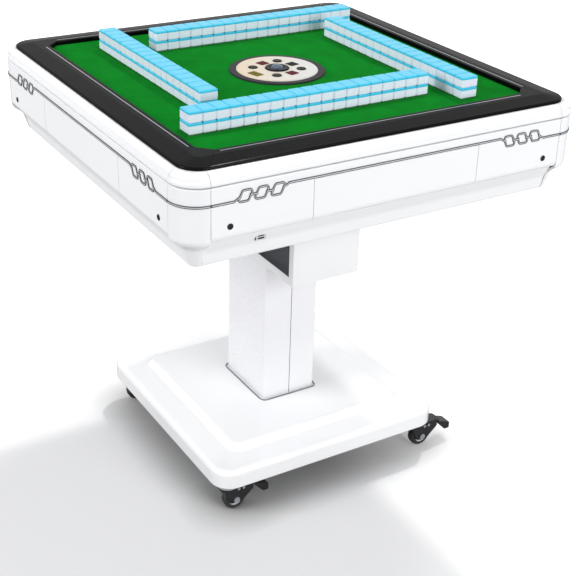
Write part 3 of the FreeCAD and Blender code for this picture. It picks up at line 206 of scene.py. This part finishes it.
def white_abs():
    """Polished injection-moulded ABS: clean white gloss with a 4 mm ripple that softens reflections."""
    return surface("polished_white_abs", colours().casing, colours().casing_shade,
                   roughness=0.2, drift=0.25, grain=0.004, depth=0.00004, IOR=1.5)


def base_abs():
    """Vacuum-formed gloss ABS of the base: white, with a slower ripple than the moulded casing."""
    return surface("gloss_formed_abs", linear("#f9f9fa"), linear("#f5f6f7"),
                   roughness=0.14, drift=0.3, grain=0.009, depth=0.00006, IOR=1.5, Coat_Weight=1.0,
                   Coat_IOR=1.8, Coat_Roughness=0.06)


def column_paint():
    """Pale grey powder coat on sheet steel: even, half gloss, with a faint 1.5 mm orange peel."""
    return surface("pale_powder_coat", colours().column, linear("#e8e8eb"),
                   roughness=0.28, drift=0.2, grain=0.0015, depth=0.000006, IOR=1.5)


def seam_shade():
    """Near black matt faces in the column's seam: painted shadow, so that the seam reads as a dark line."""
    return surface("painted_seam_shadow", linear("#1b1c1d"), linear("#141516"),
                   roughness=0.6, drift=0.03, grain=0.001, depth=0.00003, IOR=1.45)


def trough_paint():
    """White powder coat on folded steel: half gloss with fine orange peel."""
    return surface("white_powder_coat", linear("#eff0f1"), linear("#e6e7e9"),
                   roughness=0.32, drift=0.15, grain=0.0015, depth=0.00003, IOR=1.5)


def trough_inside_shade():
    """Painted shade inside the trough: dark matt grey on the faces that look inwards, so that the opening reads
    as a dark hollow.
    """
    return surface("painted_shade_inside_trough", linear("#85878b"), linear("#75777b"),
                   roughness=0.6, drift=0.05, grain=0.002, depth=0.00003, IOR=1.45)


def rim_abs():
    """Satin black ABS with a spark-eroded grain: soft low sheen, grain drawn at 2 mm so that it shows."""
    return surface("satin_black_abs", colours().rim, linear("#0d0d0e"),
                   roughness=0.4, drift=0.12, grain=0.002, depth=0.00006, IOR=1.4, Specular_IOR_Level=0.02,
                   Coat_Weight=0.14, Coat_Roughness=0.1, Coat_IOR=1.4)


def black_plastic():
    """Black glass-filled nylon of casters and fittings: dark with a dull sheen and a 1 mm grain."""
    return surface("black_nylon", linear("#161618"), linear("#1f1f21"),
                   roughness=0.4, drift=0.03, grain=0.001, depth=0.00005, IOR=1.5, Specular_IOR_Level=0.35)


def gloss_black():
    """Polished black ABS of buttons and bezel: dark with a crisp highlight and faint handling marks."""
    return surface("gloss_black_abs", linear("#090a0c"), linear("#101114"),
                   roughness=0.16, drift=0.02, grain=0.003, depth=0.00002, IOR=1.35, Specular_IOR_Level=0.08)


def tyre():
    """Black polyurethane tread: matt, dusted a little lighter in patches of 8 mm."""
    return surface("black_polyurethane", linear("#1b1b1c"), linear("#2a2a2b"),
                   roughness=0.6, drift=0.008, grain=0.0012, depth=0.00008, IOR=1.5)


def zinc():
    """Zinc-plated steel of rivets, nuts and pins: pale, slightly cloudy metal."""
    return surface("zinc_plated_steel", linear("#cfd2d6"), linear("#b4b7bc"),
                   roughness=0.3, drift=0.006, grain=0.0015, depth=0.00003, Metallic=1.0)


def hub_ring():
    """Pale grey polypropylene ring of the wheels: dull and even, with light scuffs."""
    return surface("grey_polypropylene", linear("#c9cbce"), linear("#b6b8bc"),
                   roughness=0.42, drift=0.006, grain=0.001, depth=0.00004, IOR=1.49)


def rolled_steel():
    """Cold-rolled steel of plates and chassis: grey metal with fine rolling lines along X, drawn at 2 mm."""
    return surface("cold_rolled_steel", linear("#a6a9ad"), linear("#8d9095"),
                   roughness=0.36, drift=0.06, grain=0.002, depth=0.00003, stretch=(0.06, 1, 1), Metallic=1.0)


def bright_inlay():
    """Bright anodised aluminium strip: silver line with a fine grain."""
    return surface("bright_anodised_aluminium", linear("#b4b6ba"), linear("#9c9fa3"),
                   roughness=0.3, drift=0.02, grain=0.0008, depth=0.00001, Metallic=1.0)


def trim_middle():
    """Hot-stamped silver foil on ABS: pale satin metal in the middle of the ornament strips."""
    return surface("silver_foil", colours().trim, linear("#c4c7cb"),
                   roughness=0.3, drift=0.01, grain=0.002, depth=0.00001, Metallic=0.55, IOR=1.5)


def trim_border():
    """Dark grey border of the ornament strips: a half matt line round the foil, also laid on the strips' side
    walls as painted shade.
    """
    return surface("dark_border_and_painted_edge_shade", colours().trim_border, linear("#2a2c2f"),
                   roughness=0.45, drift=0.01, grain=0.0015, depth=0.00002, IOR=1.5)


def collar_steel():
    """Ground steel wire round the foot of the column: grey and half bright, with light picked up in front."""
    return surface("ground_steel_wire", linear("#85878b"), linear("#737579"),
                   roughness=0.3, drift=0.01, grain=0.001, depth=0.00003, Metallic=0.8)


def fibre_board():
    """Medium-density fibre board: tan, matt, with short 3 mm fibres."""
    return surface("fibre_board", linear("#b08a5c"), linear("#94714a"),
                   roughness=0.75, drift=0.01, grain=0.003, depth=0.0001, IOR=1.45)


def felt(name="needled_polyester_felt"):
    """Needled polyester felt: matt green nap in faint 45 mm patches, fibres drawn at 1.6 mm so that they show."""
    material, tree, shader, place = begin(name)
    patches = add(tree, "ShaderNodeTexNoise", [("Vector", place), ("Scale", 1 / 0.045), ("Detail", 4.0),
                                               ("Roughness", 0.6)])
    fibres = add(tree, "ShaderNodeTexNoise", [("Vector", place), ("Scale", 1 / 0.0016), ("Detail", 2.0)])
    lie = add(tree, "ShaderNodeMath", [(0, patches.outputs["Fac"]), (1, fibres.outputs["Fac"])],
              operation="MULTIPLY")
    spread = add(tree, "ShaderNodeMapRange", [("Value", lie.outputs[0]), ("From Min", 0.12), ("From Max", 0.4)])
    tone = add(tree, "ShaderNodeMix", [(0, spread.outputs[0]), (6, colours().cloth_shade), (7, colours().cloth)],
               data_type="RGBA")
    relief = add(tree, "ShaderNodeBump", [("Height", fibres.outputs["Fac"]), ("Distance", 0.0004),
                                          ("Strength", 0.6)])
    tree.links.new(tone.outputs[2], shader.inputs["Base Color"])
    tree.links.new(relief.outputs[0], shader.inputs["Normal"])
    shader.inputs["Roughness"].default_value = 0.95
    shader.inputs["Specular IOR Level"].default_value = 0.05
    shader.inputs["Sheen Weight"].default_value = 0.03
    shader.inputs["Sheen Roughness"].default_value = 0.5
    shader.inputs["Sheen Tint"].default_value = linear("#6fd68a")
    return material


def tile_acrylic():
    """Cast acrylic backing of the tiles: blue gloss that drifts from tile to tile, worn dull in 6 mm smears."""
    return surface("blue_cast_acrylic", colours().tile_back, linear("#3cc1e6"),
                   roughness=0.22, drift=0.02, grain=0.006, depth=0.00002, IOR=1.49)


def tile_melamine():
    """Pressed melamine body of the tiles: cool white, half gloss, with faint cloudiness at 15 mm."""
    return surface("white_pressed_melamine", colours().tile_face, linear("#e8eeff"),
                   roughness=0.28, drift=0.015, grain=0.004, depth=0.000004, IOR=1.55)


def ivory_abs():
    """Ivory ABS of the disc: half gloss under a 2 mm grain, painted warmer and yellower towards one side as a
    painted reflection.
    """
    material, tree, shader, place = begin("ivory_abs")
    across = add(tree, "ShaderNodeVectorMath", [(0, place), (1, WARM_REFLECTION_ALONG)], operation="DOT_PRODUCT")
    warm_share = add(tree, "ShaderNodeMapRange", [("Value", across.outputs["Value"]), ("From Min", -0.07),
                                            ("From Max", 0.06)])
    # The yellow #dcc8ab is a painted warm reflection laid over one side of the disc.
    tone = add(tree, "ShaderNodeMix", [(0, warm_share.outputs[0]), (6, linear("#dcc8ab")), (7, colours().disc)],
               data_type="RGBA")
    skin = add(tree, "ShaderNodeTexNoise", [("Vector", place), ("Scale", 1 / 0.002), ("Detail", 2.0)])
    gloss = add(tree, "ShaderNodeMapRange", [("Value", skin.outputs["Fac"]), ("To Min", 0.24), ("To Max", 0.36)])
    tree.links.new(tone.outputs[2], shader.inputs["Base Color"])
    tree.links.new(gloss.outputs[0], shader.inputs["Roughness"])
    return material


def ring_plastic():
    """Dark grey grained ABS round the disc: matt with a 1.5 mm grain."""
    return surface("grained_grey_abs", linear("#2e2c30"), linear("#252428"),
                   roughness=0.5, drift=0.03, grain=0.0015, depth=0.00008, IOR=1.5, Specular_IOR_Level=0.1)


def clear_dome():
    """Clear polycarbonate dome: smoky blue with sharp highlights and slight moulding ripples."""
    material, tree, shader, place = begin("smoked_polycarbonate")
    ripple = add(tree, "ShaderNodeTexNoise", [("Vector", place), ("Scale", 1 / 0.01)])
    relief = add(tree, "ShaderNodeBump", [("Height", ripple.outputs["Fac"]), ("Distance", 0.0001),
                                          ("Strength", 0.3)])
    tree.links.new(relief.outputs[0], shader.inputs["Normal"])
    shader.inputs["Base Color"].default_value = linear("#8ea0ba")
    shader.inputs["Roughness"].default_value = 0.06
    shader.inputs["IOR"].default_value = 1.58
    shader.inputs["Transmission Weight"].default_value = 0.85
    return material


def window_acrylic(name, light, dark):
    """Tinted acrylic of an indicator window: deep colour under gloss, uneven where the print behind it shows."""
    return surface(name, linear(light), linear(dark),
                   roughness=0.3, drift=0.006, grain=0.003, depth=0.00002, IOR=1.35, Specular_IOR_Level=0.03)


def bowl_plastic():
    """Grey recycled polypropylene of the shuffle bowl and turntable: dull with flow marks of 30 mm."""
    return surface("grey_flowed_polypropylene", linear("#8d9197"), linear("#7b7f86"),
                   roughness=0.45, drift=0.03, grain=0.002, depth=0.00005, IOR=1.49)


def motor_paint():
    """Grey enamel on the drive unit: half gloss, in faint patches of 40 mm, with a 2 mm spray texture."""
    return surface("grey_enamel", linear("#6d7176"), linear("#5b5f64"),
                   roughness=0.35, drift=0.04, grain=0.002, depth=0.00005, IOR=1.5)


def circuit_lacquer():
    """Green solder resist on the control board: gloss, with tracks showing as patches of 5 mm."""
    return surface("green_solder_resist", linear("#1d6b3d"), linear("#124a2a"),
                   roughness=0.25, drift=0.005, grain=0.002, depth=0.00002, IOR=1.5)


# Shared steps

def dress(names, *materials, pick=None):
    """Gives CAD nodes their finishes; pick chooses one for each face, given the node's box."""
    for name in names:
        mesh = nodes[name].data
        mesh.materials.clear()
        for material in materials:
            mesh.materials.append(material)
        low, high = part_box(name)
        chosen = [pick(face, low, high) if pick else 0 for face in mesh.polygons]
        mesh.polygons.foreach_set("material_index", chosen)


def place_piece(name, shape, materials, body, slot, *stands_for):
    """Object from a finished shape, riding on a body and standing for CAD nodes."""
    mesh = bpy.data.meshes.new(name)
    shape.to_mesh(mesh)
    shape.free()
    for material in materials:
        mesh.materials.append(material)
    piece = bpy.data.objects.new(name, mesh)
    bpy.context.scene.collection.objects.link(piece)
    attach(piece, body)
    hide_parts(*stands_for)
    return piece


def merged_copy(name):
    """Merged copy of a CAD node's mesh, with its flat triangles joined into faces."""
    shape = bmesh.new()
    shape.from_mesh(nodes[name].data)
    bmesh.ops.remove_doubles(shape, verts=shape.verts, dist=DOUBLES)
    bmesh.ops.dissolve_limit(shape, angle_limit=FLAT_ANGLE, verts=shape.verts, edges=shape.edges)
    for face in shape.faces:
        face.material_index = 0
    return shape


# Pieces

class MAHJONG_OT_stage(bpy.types.Operator):
    """Pale floor, soft studio light and the camera at the photograph's angle"""

    bl_idname = "mahjong.stage"
    bl_label = "Studio stage"

    def execute(self, context):
        scene = bpy.context.scene
        scene.view_settings.view_transform = "Standard"
        self.world(scene)
        self.ground()
        for lamp in LAMPS:
            self.lamp(*lamp)
        self.camera(scene)
        return {"FINISHED"}

    def world(self, scene):
        """White for the eye and for reflections, plain fill for everything else."""
        world = bpy.data.worlds.new("studio")
        world.use_nodes = True
        tree = world.node_tree
        tree.nodes.clear()
        seen = self.seen(tree)
        fill = add(tree, "ShaderNodeBackground", [("Color", linear("#fbfcff")), ("Strength", WORLD_FILL)])
        white = add(tree, "ShaderNodeBackground", [("Color", WHITE), ("Strength", 1.0)])
        both = add(tree, "ShaderNodeMixShader", [(0, seen), (1, fill.outputs[0]), (2, white.outputs[0])])
        add(tree, "ShaderNodeOutputWorld", [("Surface", both.outputs[0])])
        scene.world = world

    def seen(self, tree):
        """One for camera, glossy and transmission rays, nothing for the rest."""
        rays = add(tree, "ShaderNodeLightPath").outputs
        mirror = add(tree, "ShaderNodeMath", [(0, rays["Is Glossy Ray"]), (1, rays["Is Transmission Ray"])],
                     operation="MAXIMUM")
        return add(tree, "ShaderNodeMath", [(0, rays["Is Camera Ray"]), (1, mirror.outputs[0])],
                   operation="MAXIMUM").outputs[0]

    def ground(self):
        """Floor that keeps the shadow, darker close to the part, and turns to white away from it.

        That is for the eye; all other rays meet plain grey.
        """
        material = bpy.data.materials.new("matt_studio_floor")
        material.use_nodes = True
        tree = material.node_tree
        tree.nodes.clear()
        eye = add(tree, "ShaderNodeLightPath").outputs["Is Camera Ray"]
        contact = add(tree, "ShaderNodeAmbientOcclusion",
                      [("Color", colours().floor), ("Distance", CONTACT_REACH)], samples=8)
        shade = add(tree, "ShaderNodeMix", [(0, eye), (6, linear(FLOOR_BOUNCE)), (7, contact.outputs["Color"])],
                    data_type="RGBA")
        matt = add(tree, "ShaderNodeBsdfDiffuse", [("Color", shade.outputs[2])])
        lift = add(tree, "ShaderNodeEmission", [("Color", WHITE)])
        spot = add(tree, "ShaderNodeTexCoord").outputs["Object"]
        reach = add(tree, "ShaderNodeVectorMath", [(0, spot), (1, SHADOW_MIDDLE)],
                    operation="DISTANCE").outputs["Value"]
        fade = add(tree, "ShaderNodeMapRange",
                   [("Value", reach), ("From Min", WHITE_START), ("From Max", WHITE_END), ("To Min", 0.0),
                    ("To Max", WHITE_STRENGTH)], interpolation_type="SMOOTHSTEP")
        share = add(tree, "ShaderNodeMath", [(0, eye), (1, fade.outputs["Result"])], operation="MULTIPLY")
        tree.links.new(share.outputs[0], lift.inputs["Strength"])
        both = add(tree, "ShaderNodeAddShader", [(0, matt.outputs[0]), (1, lift.outputs[0])])
        add(tree, "ShaderNodeOutputMaterial", [("Surface", both.outputs[0])])
        shape = bmesh.new()
        bmesh.ops.create_grid(shape, x_segments=1, y_segments=1, size=sizes().floor / 2)
        mesh = bpy.data.meshes.new("studio_floor")
        shape.to_mesh(mesh)
        shape.free()
        mesh.materials.append(material)
        floor = bpy.data.objects.new("studio_floor", mesh)
        bpy.context.scene.collection.objects.link(floor)

    def lamp(self, name, place, target, size, power):
        """Square softbox at a place, aimed at a target."""
        data = bpy.data.lights.new(name, "AREA")
        data.shape = "SQUARE"
        data.size = size
        data.energy = power
        lamp = bpy.data.objects.new(name, data)
        lamp.location = place
        lamp.rotation_euler = (Vector(target) - Vector(place)).to_track_quat("-Z", "Y").to_euler()
        bpy.context.scene.collection.objects.link(lamp)

    def camera(self, scene):
        """Camera set by its place, its heading, its tilt and its slight roll."""
        heading, tilt, roll = (math.radians(angle) for angle in (CAMERA_HEADING, CAMERA_TILT, CAMERA_ROLL))
        ahead = Vector((-math.sin(heading) * math.cos(tilt), math.cos(heading) * math.cos(tilt),
                        math.sin(tilt)))
        right = Vector((math.cos(heading), math.sin(heading), 0))
        up = right.cross(ahead)
        turned = Matrix((right, up, -ahead)).transposed() @ Matrix.Rotation(roll, 3, "Z")
        data = bpy.data.cameras.new("camera")
        data.lens = CAMERA_LENS
        data.sensor_width = CAMERA_SENSOR
        camera = bpy.data.objects.new("camera", data)
        camera.matrix_world = Matrix.Translation(CAMERA_PLACE) @ turned.to_4x4()
        scene.collection.objects.link(camera)
        scene.camera = camera


class MAHJONG_OT_casing(bpy.types.Operator):
    """White casing: panels, ring, tray, drawers and the small fittings in them"""

    bl_idname = "mahjong.casing"
    bl_label = "Casing and drawers"

    def execute(self, context):
        white = white_abs()
        drawers = ["chip_drawer_" + side for side in SIDES]
        dress(["casing_panels", "top_ring", "head_tray"] + drawers, white)
        dress(["sockets_and_plugs"], black_plastic(), hub_ring(), pick=self.usb_face)
        return {"FINISHED"}

    def usb_face(self, face, low, high):
        """The USB socket's front is pale grey, its slots and the other fittings black."""
        centre = face.center
        usb = abs(centre.x - USB_X) < USB_HALF_WIDTH and USB_LOW_Z < centre.z < USB_HIGH_Z
        return 1 if usb and face.normal.y < -FACING and centre.y < USB_FRONT_Y else 0


class MAHJONG_OT_rim(bpy.types.Operator):
    """Black rim with its bright inlay strips"""

    bl_idname = "mahjong.rim"
    bl_label = "Rim and inlays"

    def execute(self, context):
        dress(["rim_rails", "rim_corners"], rim_abs())
        dress(["rim_inlays"], bright_inlay())
        return {"FINISHED"}


class MAHJONG_OT_trim(bpy.types.Operator):
    """Chain ornament: silver strips with a dark border on both edges"""

    bl_idname = "mahjong.trim"
    bl_label = "Chain ornament"

    def execute(self, context):
        shape = merged_copy("chain_trims")
        middle = [face for face in shape.faces if self.front(face)]
        bmesh.ops.inset_region(shape, faces=middle, thickness=sizes().trim_edge, use_boundary=True,
                               use_even_offset=True)
        # Every face but the foil takes the dark border; on the strips' side walls that is painted shade.
        for face in shape.faces:
            face.material_index = 1
        for face in middle:
            face.material_index = 0
        place_piece("chain_ornament", shape, [trim_middle(), trim_border()], "head", "trim_grey", "chain_trims")
        return {"FINISHED"}

    def front(self, face):
        """Whether a face is on the outer skin of the strips."""
        return all(self.proud(vert.co) > STRIP_PROUD for vert in face.verts)

    def proud(self, point):
        """Distance of a point outside the rounded square of the casing."""
        over_x = abs(point.x) - sizes().casing_centre
        over_y = abs(point.y) - sizes().casing_centre
        if over_x > 0 and over_y > 0:
            return math.hypot(over_x, over_y) - sizes().casing_corner
        return max(over_x, over_y) - sizes().casing_corner


class MAHJONG_OT_cloth(bpy.types.Operator):
    """Green playing cloth stretched over the table board"""

    bl_idname = "mahjong.cloth"
    bl_label = "Playing cloth"

    def execute(self, context):
        shape = merged_copy("playing_felt")
        spare = [face for face in shape.faces if face.normal.z < FACING]
        bmesh.ops.delete(shape, geom=spare, context="FACES")
        area = sum(face.calc_area() for face in shape.faces)
        cloth = place_piece("playing_cloth", shape, [felt()], "head", "green_cloth", "playing_felt")
        body = cloth.modifiers.new("thickness", "SOLIDIFY")
        body.thickness = sizes().cloth_thickness
        body.offset = -1
        edge = cloth.modifiers.new("soft_edge", "BEVEL")
        edge.width = sizes().cloth_roll
        edge.segments = 2
        edge.limit_method = "ANGLE"
        edge.angle_limit = CLOTH_EDGE_ANGLE
        return {"FINISHED"}


class MAHJONG_OT_tile_walls(bpy.types.Operator):
    """Four walls of tiles, two high, each on its lift"""

    bl_idname = "mahjong.tile_walls"
    bl_label = "Tile walls"

    def execute(self, context):
        finishes = [tile_melamine(), tile_acrylic()]
        for side in SIDES:
            low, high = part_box("tile_wall_" + side)
            shape = bmesh.new()
            along = 0 if high.x - low.x > high.y - low.y else 1
            count = round((high[along] - low[along] + sizes().tile_gap) / sizes().tile_pitch)
            size = high - low
            size[along] = (size[along] + sizes().tile_gap) / count - sizes().tile_gap
            size.z = size.z - sizes().tile_layer
            for index in range(count):
                for layer in range(2):
                    corner = low.copy()
                    corner[along] += index * (size[along] + sizes().tile_gap)
                    corner.z += layer * sizes().tile_layer
                    self.tile(shape, corner, size)
            place_piece("tiles_" + side, shape, finishes, "lift_" + side, "tile_blue", "tile_wall_" + side)
        return {"FINISHED"}

    def tile(self, shape, corner, size):
        """One tile with softened edges and a blue backing on top."""
        seat = Matrix.Translation(corner + size / 2) @ Matrix.Diagonal(size.to_4d())
        verts = bmesh.ops.create_cube(shape, size=1, matrix=seat)["verts"]
        edges = list({edge for vert in verts for edge in vert.link_edges})
        bevelled = bmesh.ops.bevel(shape, geom=edges, offset=sizes().tile_edge, affect="EDGES", segments=1,
                                   profile=0.5, material=-1)
        faces = {face for vert in bevelled["verts"] for face in vert.link_faces}
        seam = corner.z + size.z - sizes().tile_back
        geom = list(faces) + list({edge for face in faces for edge in face.edges})
        geom += list({vert for face in faces for vert in face.verts})
        cut = bmesh.ops.bisect_plane(shape, geom=geom, plane_co=(0, 0, seam), plane_no=(0, 0, 1))
        for item in cut["geom"]:
            if isinstance(item, bmesh.types.BMFace):
                item.material_index = 1 if item.calc_center_median().z > seam else 0


class MAHJONG_OT_centre_disc(bpy.types.Operator):
    """Centre disc with its ring, windows, buttons and the dice under their dome"""

    bl_idname = "mahjong.centre_disc"
    bl_label = "Centre disc"

    def execute(self, context):
        dress(["control_disc"], ivory_abs())
        dress(["disc_surround"], ring_plastic())
        dress(["dice_bezel"] + ["dice_button_%d" % (index + 1) for index in range(4)], gloss_black())
        dress(["dice_dome"], clear_dome())
        dress(["indicator_windows"], window_acrylic("maroon_acrylic", "#64101d", "#430812"),
              window_acrylic("black_acrylic", "#131416", "#0b0c0d"),
              window_acrylic("amber_acrylic", "#80770f", "#4d4708"), pick=self.window)
        dress(["dice"], tile_melamine())
        return {"FINISHED"}

    def window(self, face, low, high):
        """Maroon windows to the back and the front, a black one to the right and an amber one to the left."""
        if abs(face.center.y) > abs(face.center.x):
            return 0
        return 1 if face.center.x > 0 else 2


class MAHJONG_OT_pedestal(bpy.types.Operator):
    """Base, column and fold trough"""

    bl_idname = "mahjong.pedestal"
    bl_label = "Base and column"

    def execute(self, context):
        dress(["base_cover"], base_abs())
        # The faces in the column's seam carry painted shadow.
        dress(["column_shell_left", "column_shell_right"], column_paint(), seam_shade(), pick=self.seam)
        # The trough's inward faces carry painted shade.
        dress(["fold_trough"], trough_paint(), trough_inside_shade(), pick=self.inside)
        dress(["pivot_plate"], trough_paint())
        dress(["base_plate", "column_post"], rolled_steel())
        dress(["fold_hinge_pin"], zinc())
        dress(["column_collar"], collar_steel())
        return {"FINISHED"}

    def seam(self, face, low, high):
        """The edges of the half covers that face each other."""
        return 1 if abs(face.normal.x) > FACING and abs(face.center.x) < SEAM_REACH else 0

    def inside(self, face, low, high):
        """The inside of the trough, painted dark as shade: faces that look towards its middle."""
        return 1 if face.normal.dot(face.center - (low + high) / 2) < 0 else 0


class MAHJONG_OT_casters(bpy.types.Operator):
    """Swivel casters with their brakes"""

    bl_idname = "mahjong.casters"
    bl_label = "Casters"

    def execute(self, context):
        black, bright, rubber, pale = black_plastic(), zinc(), tyre(), hub_ring()
        dress(["caster_mounts"], bright)
        dress(["caster_fork_" + place for place in CASTERS], black, bright, pick=self.fork)
        dress(["caster_wheel_" + place for place in CASTERS], rubber, pale, black, pick=self.wheel)
        dress(["caster_brake_" + place for place in CASTERS], black)
        return {"FINISHED"}

    def fork(self, face, low, high):
        """Rivets and axle heads stand outside the fork's cheeks and are bright."""
        return 1 if abs(face.center.y - (low.y + high.y) / 2) > FORK_CHEEK else 0

    def wheel(self, face, low, high):
        """Tread, pale ring and dark hub by distance from the axle."""
        away = face.center - (low + high) / 2
        radius = math.hypot(away.x, away.z)
        return 0 if radius > TREAD_RADIUS else 1 if radius > RING_RADIUS else 2


class MAHJONG_OT_machine(bpy.types.Operator):
    """Board, lifts and the machinery inside the head"""

    bl_idname = "mahjong.machine"
    bl_label = "Board, lifts and machinery"

    def execute(self, context):
        steel = rolled_steel()
        dress(["table_board"], fibre_board())
        dress(["tile_lift_" + side for side in SIDES], steel, felt("lift_felt"), pick=self.lift)
        dress(["chassis_frame"], steel)
        dress(["shuffle_bowl", "turntable"], bowl_plastic())
        dress(["drive_motor"], motor_paint())
        dress(["control_board"], circuit_lacquer(), black_plastic(), pick=self.chip)
        return {"FINISHED"}

    def lift(self, face, low, high):
        """Lift plates carry felt on top."""
        return 1 if face.normal.z > FACING and face.center.z > high.z - LIFT_SKIN else 0

    def chip(self, face, low, high):
        """Chips stand over the board and are black."""
        return 1 if face.center.z > low.z + BOARD_THICKNESS else 0


class MAHJONG_PT_looks(bpy.types.Panel):
    """Steps and values of the mahjong table"""

    bl_idname = "MAHJONG_PT_looks"
    bl_label = "Mahjong table"
    bl_space_type = "VIEW_3D"
    bl_region_type = "UI"
    bl_category = "Mahjong table"

    def draw(self, context):
        for step in STEPS:
            self.layout.operator(step.bl_idname)
        for group in (context.scene.mahjong_sizes, context.scene.mahjong_colours):
            for key in group.__annotations__:
                self.layout.prop(group, key)


STEPS = (MAHJONG_OT_stage, MAHJONG_OT_casing, MAHJONG_OT_rim, MAHJONG_OT_trim, MAHJONG_OT_cloth,
         MAHJONG_OT_tile_walls, MAHJONG_OT_centre_disc, MAHJONG_OT_pedestal, MAHJONG_OT_casters,
         MAHJONG_OT_machine)
CLASSES = (TableSizes, TableColours) + STEPS + (MAHJONG_PT_looks,)


def register():
    """Registers the classes and gives the scene its values."""
    for item in CLASSES:
        bpy.utils.register_class(item)
    bpy.types.Scene.mahjong_sizes = PointerProperty(type=TableSizes)
    bpy.types.Scene.mahjong_colours = PointerProperty(type=TableColours)


def unregister():
    """Takes back what register did."""
    del bpy.types.Scene.mahjong_colours
    del bpy.types.Scene.mahjong_sizes
    for item in reversed(CLASSES):
        bpy.utils.unregister_class(item)


def main():
    """Builds every group."""
    register()
    bpy.ops.mahjong.stage()
    bpy.ops.mahjong.casing()
    bpy.ops.mahjong.rim()
    bpy.ops.mahjong.trim()
    bpy.ops.mahjong.cloth()
    bpy.ops.mahjong.tile_walls()
    bpy.ops.mahjong.centre_disc()
    bpy.ops.mahjong.pedestal()
    bpy.ops.mahjong.casters()
    bpy.ops.mahjong.machine()


if __name__ == "__main__":
    main()
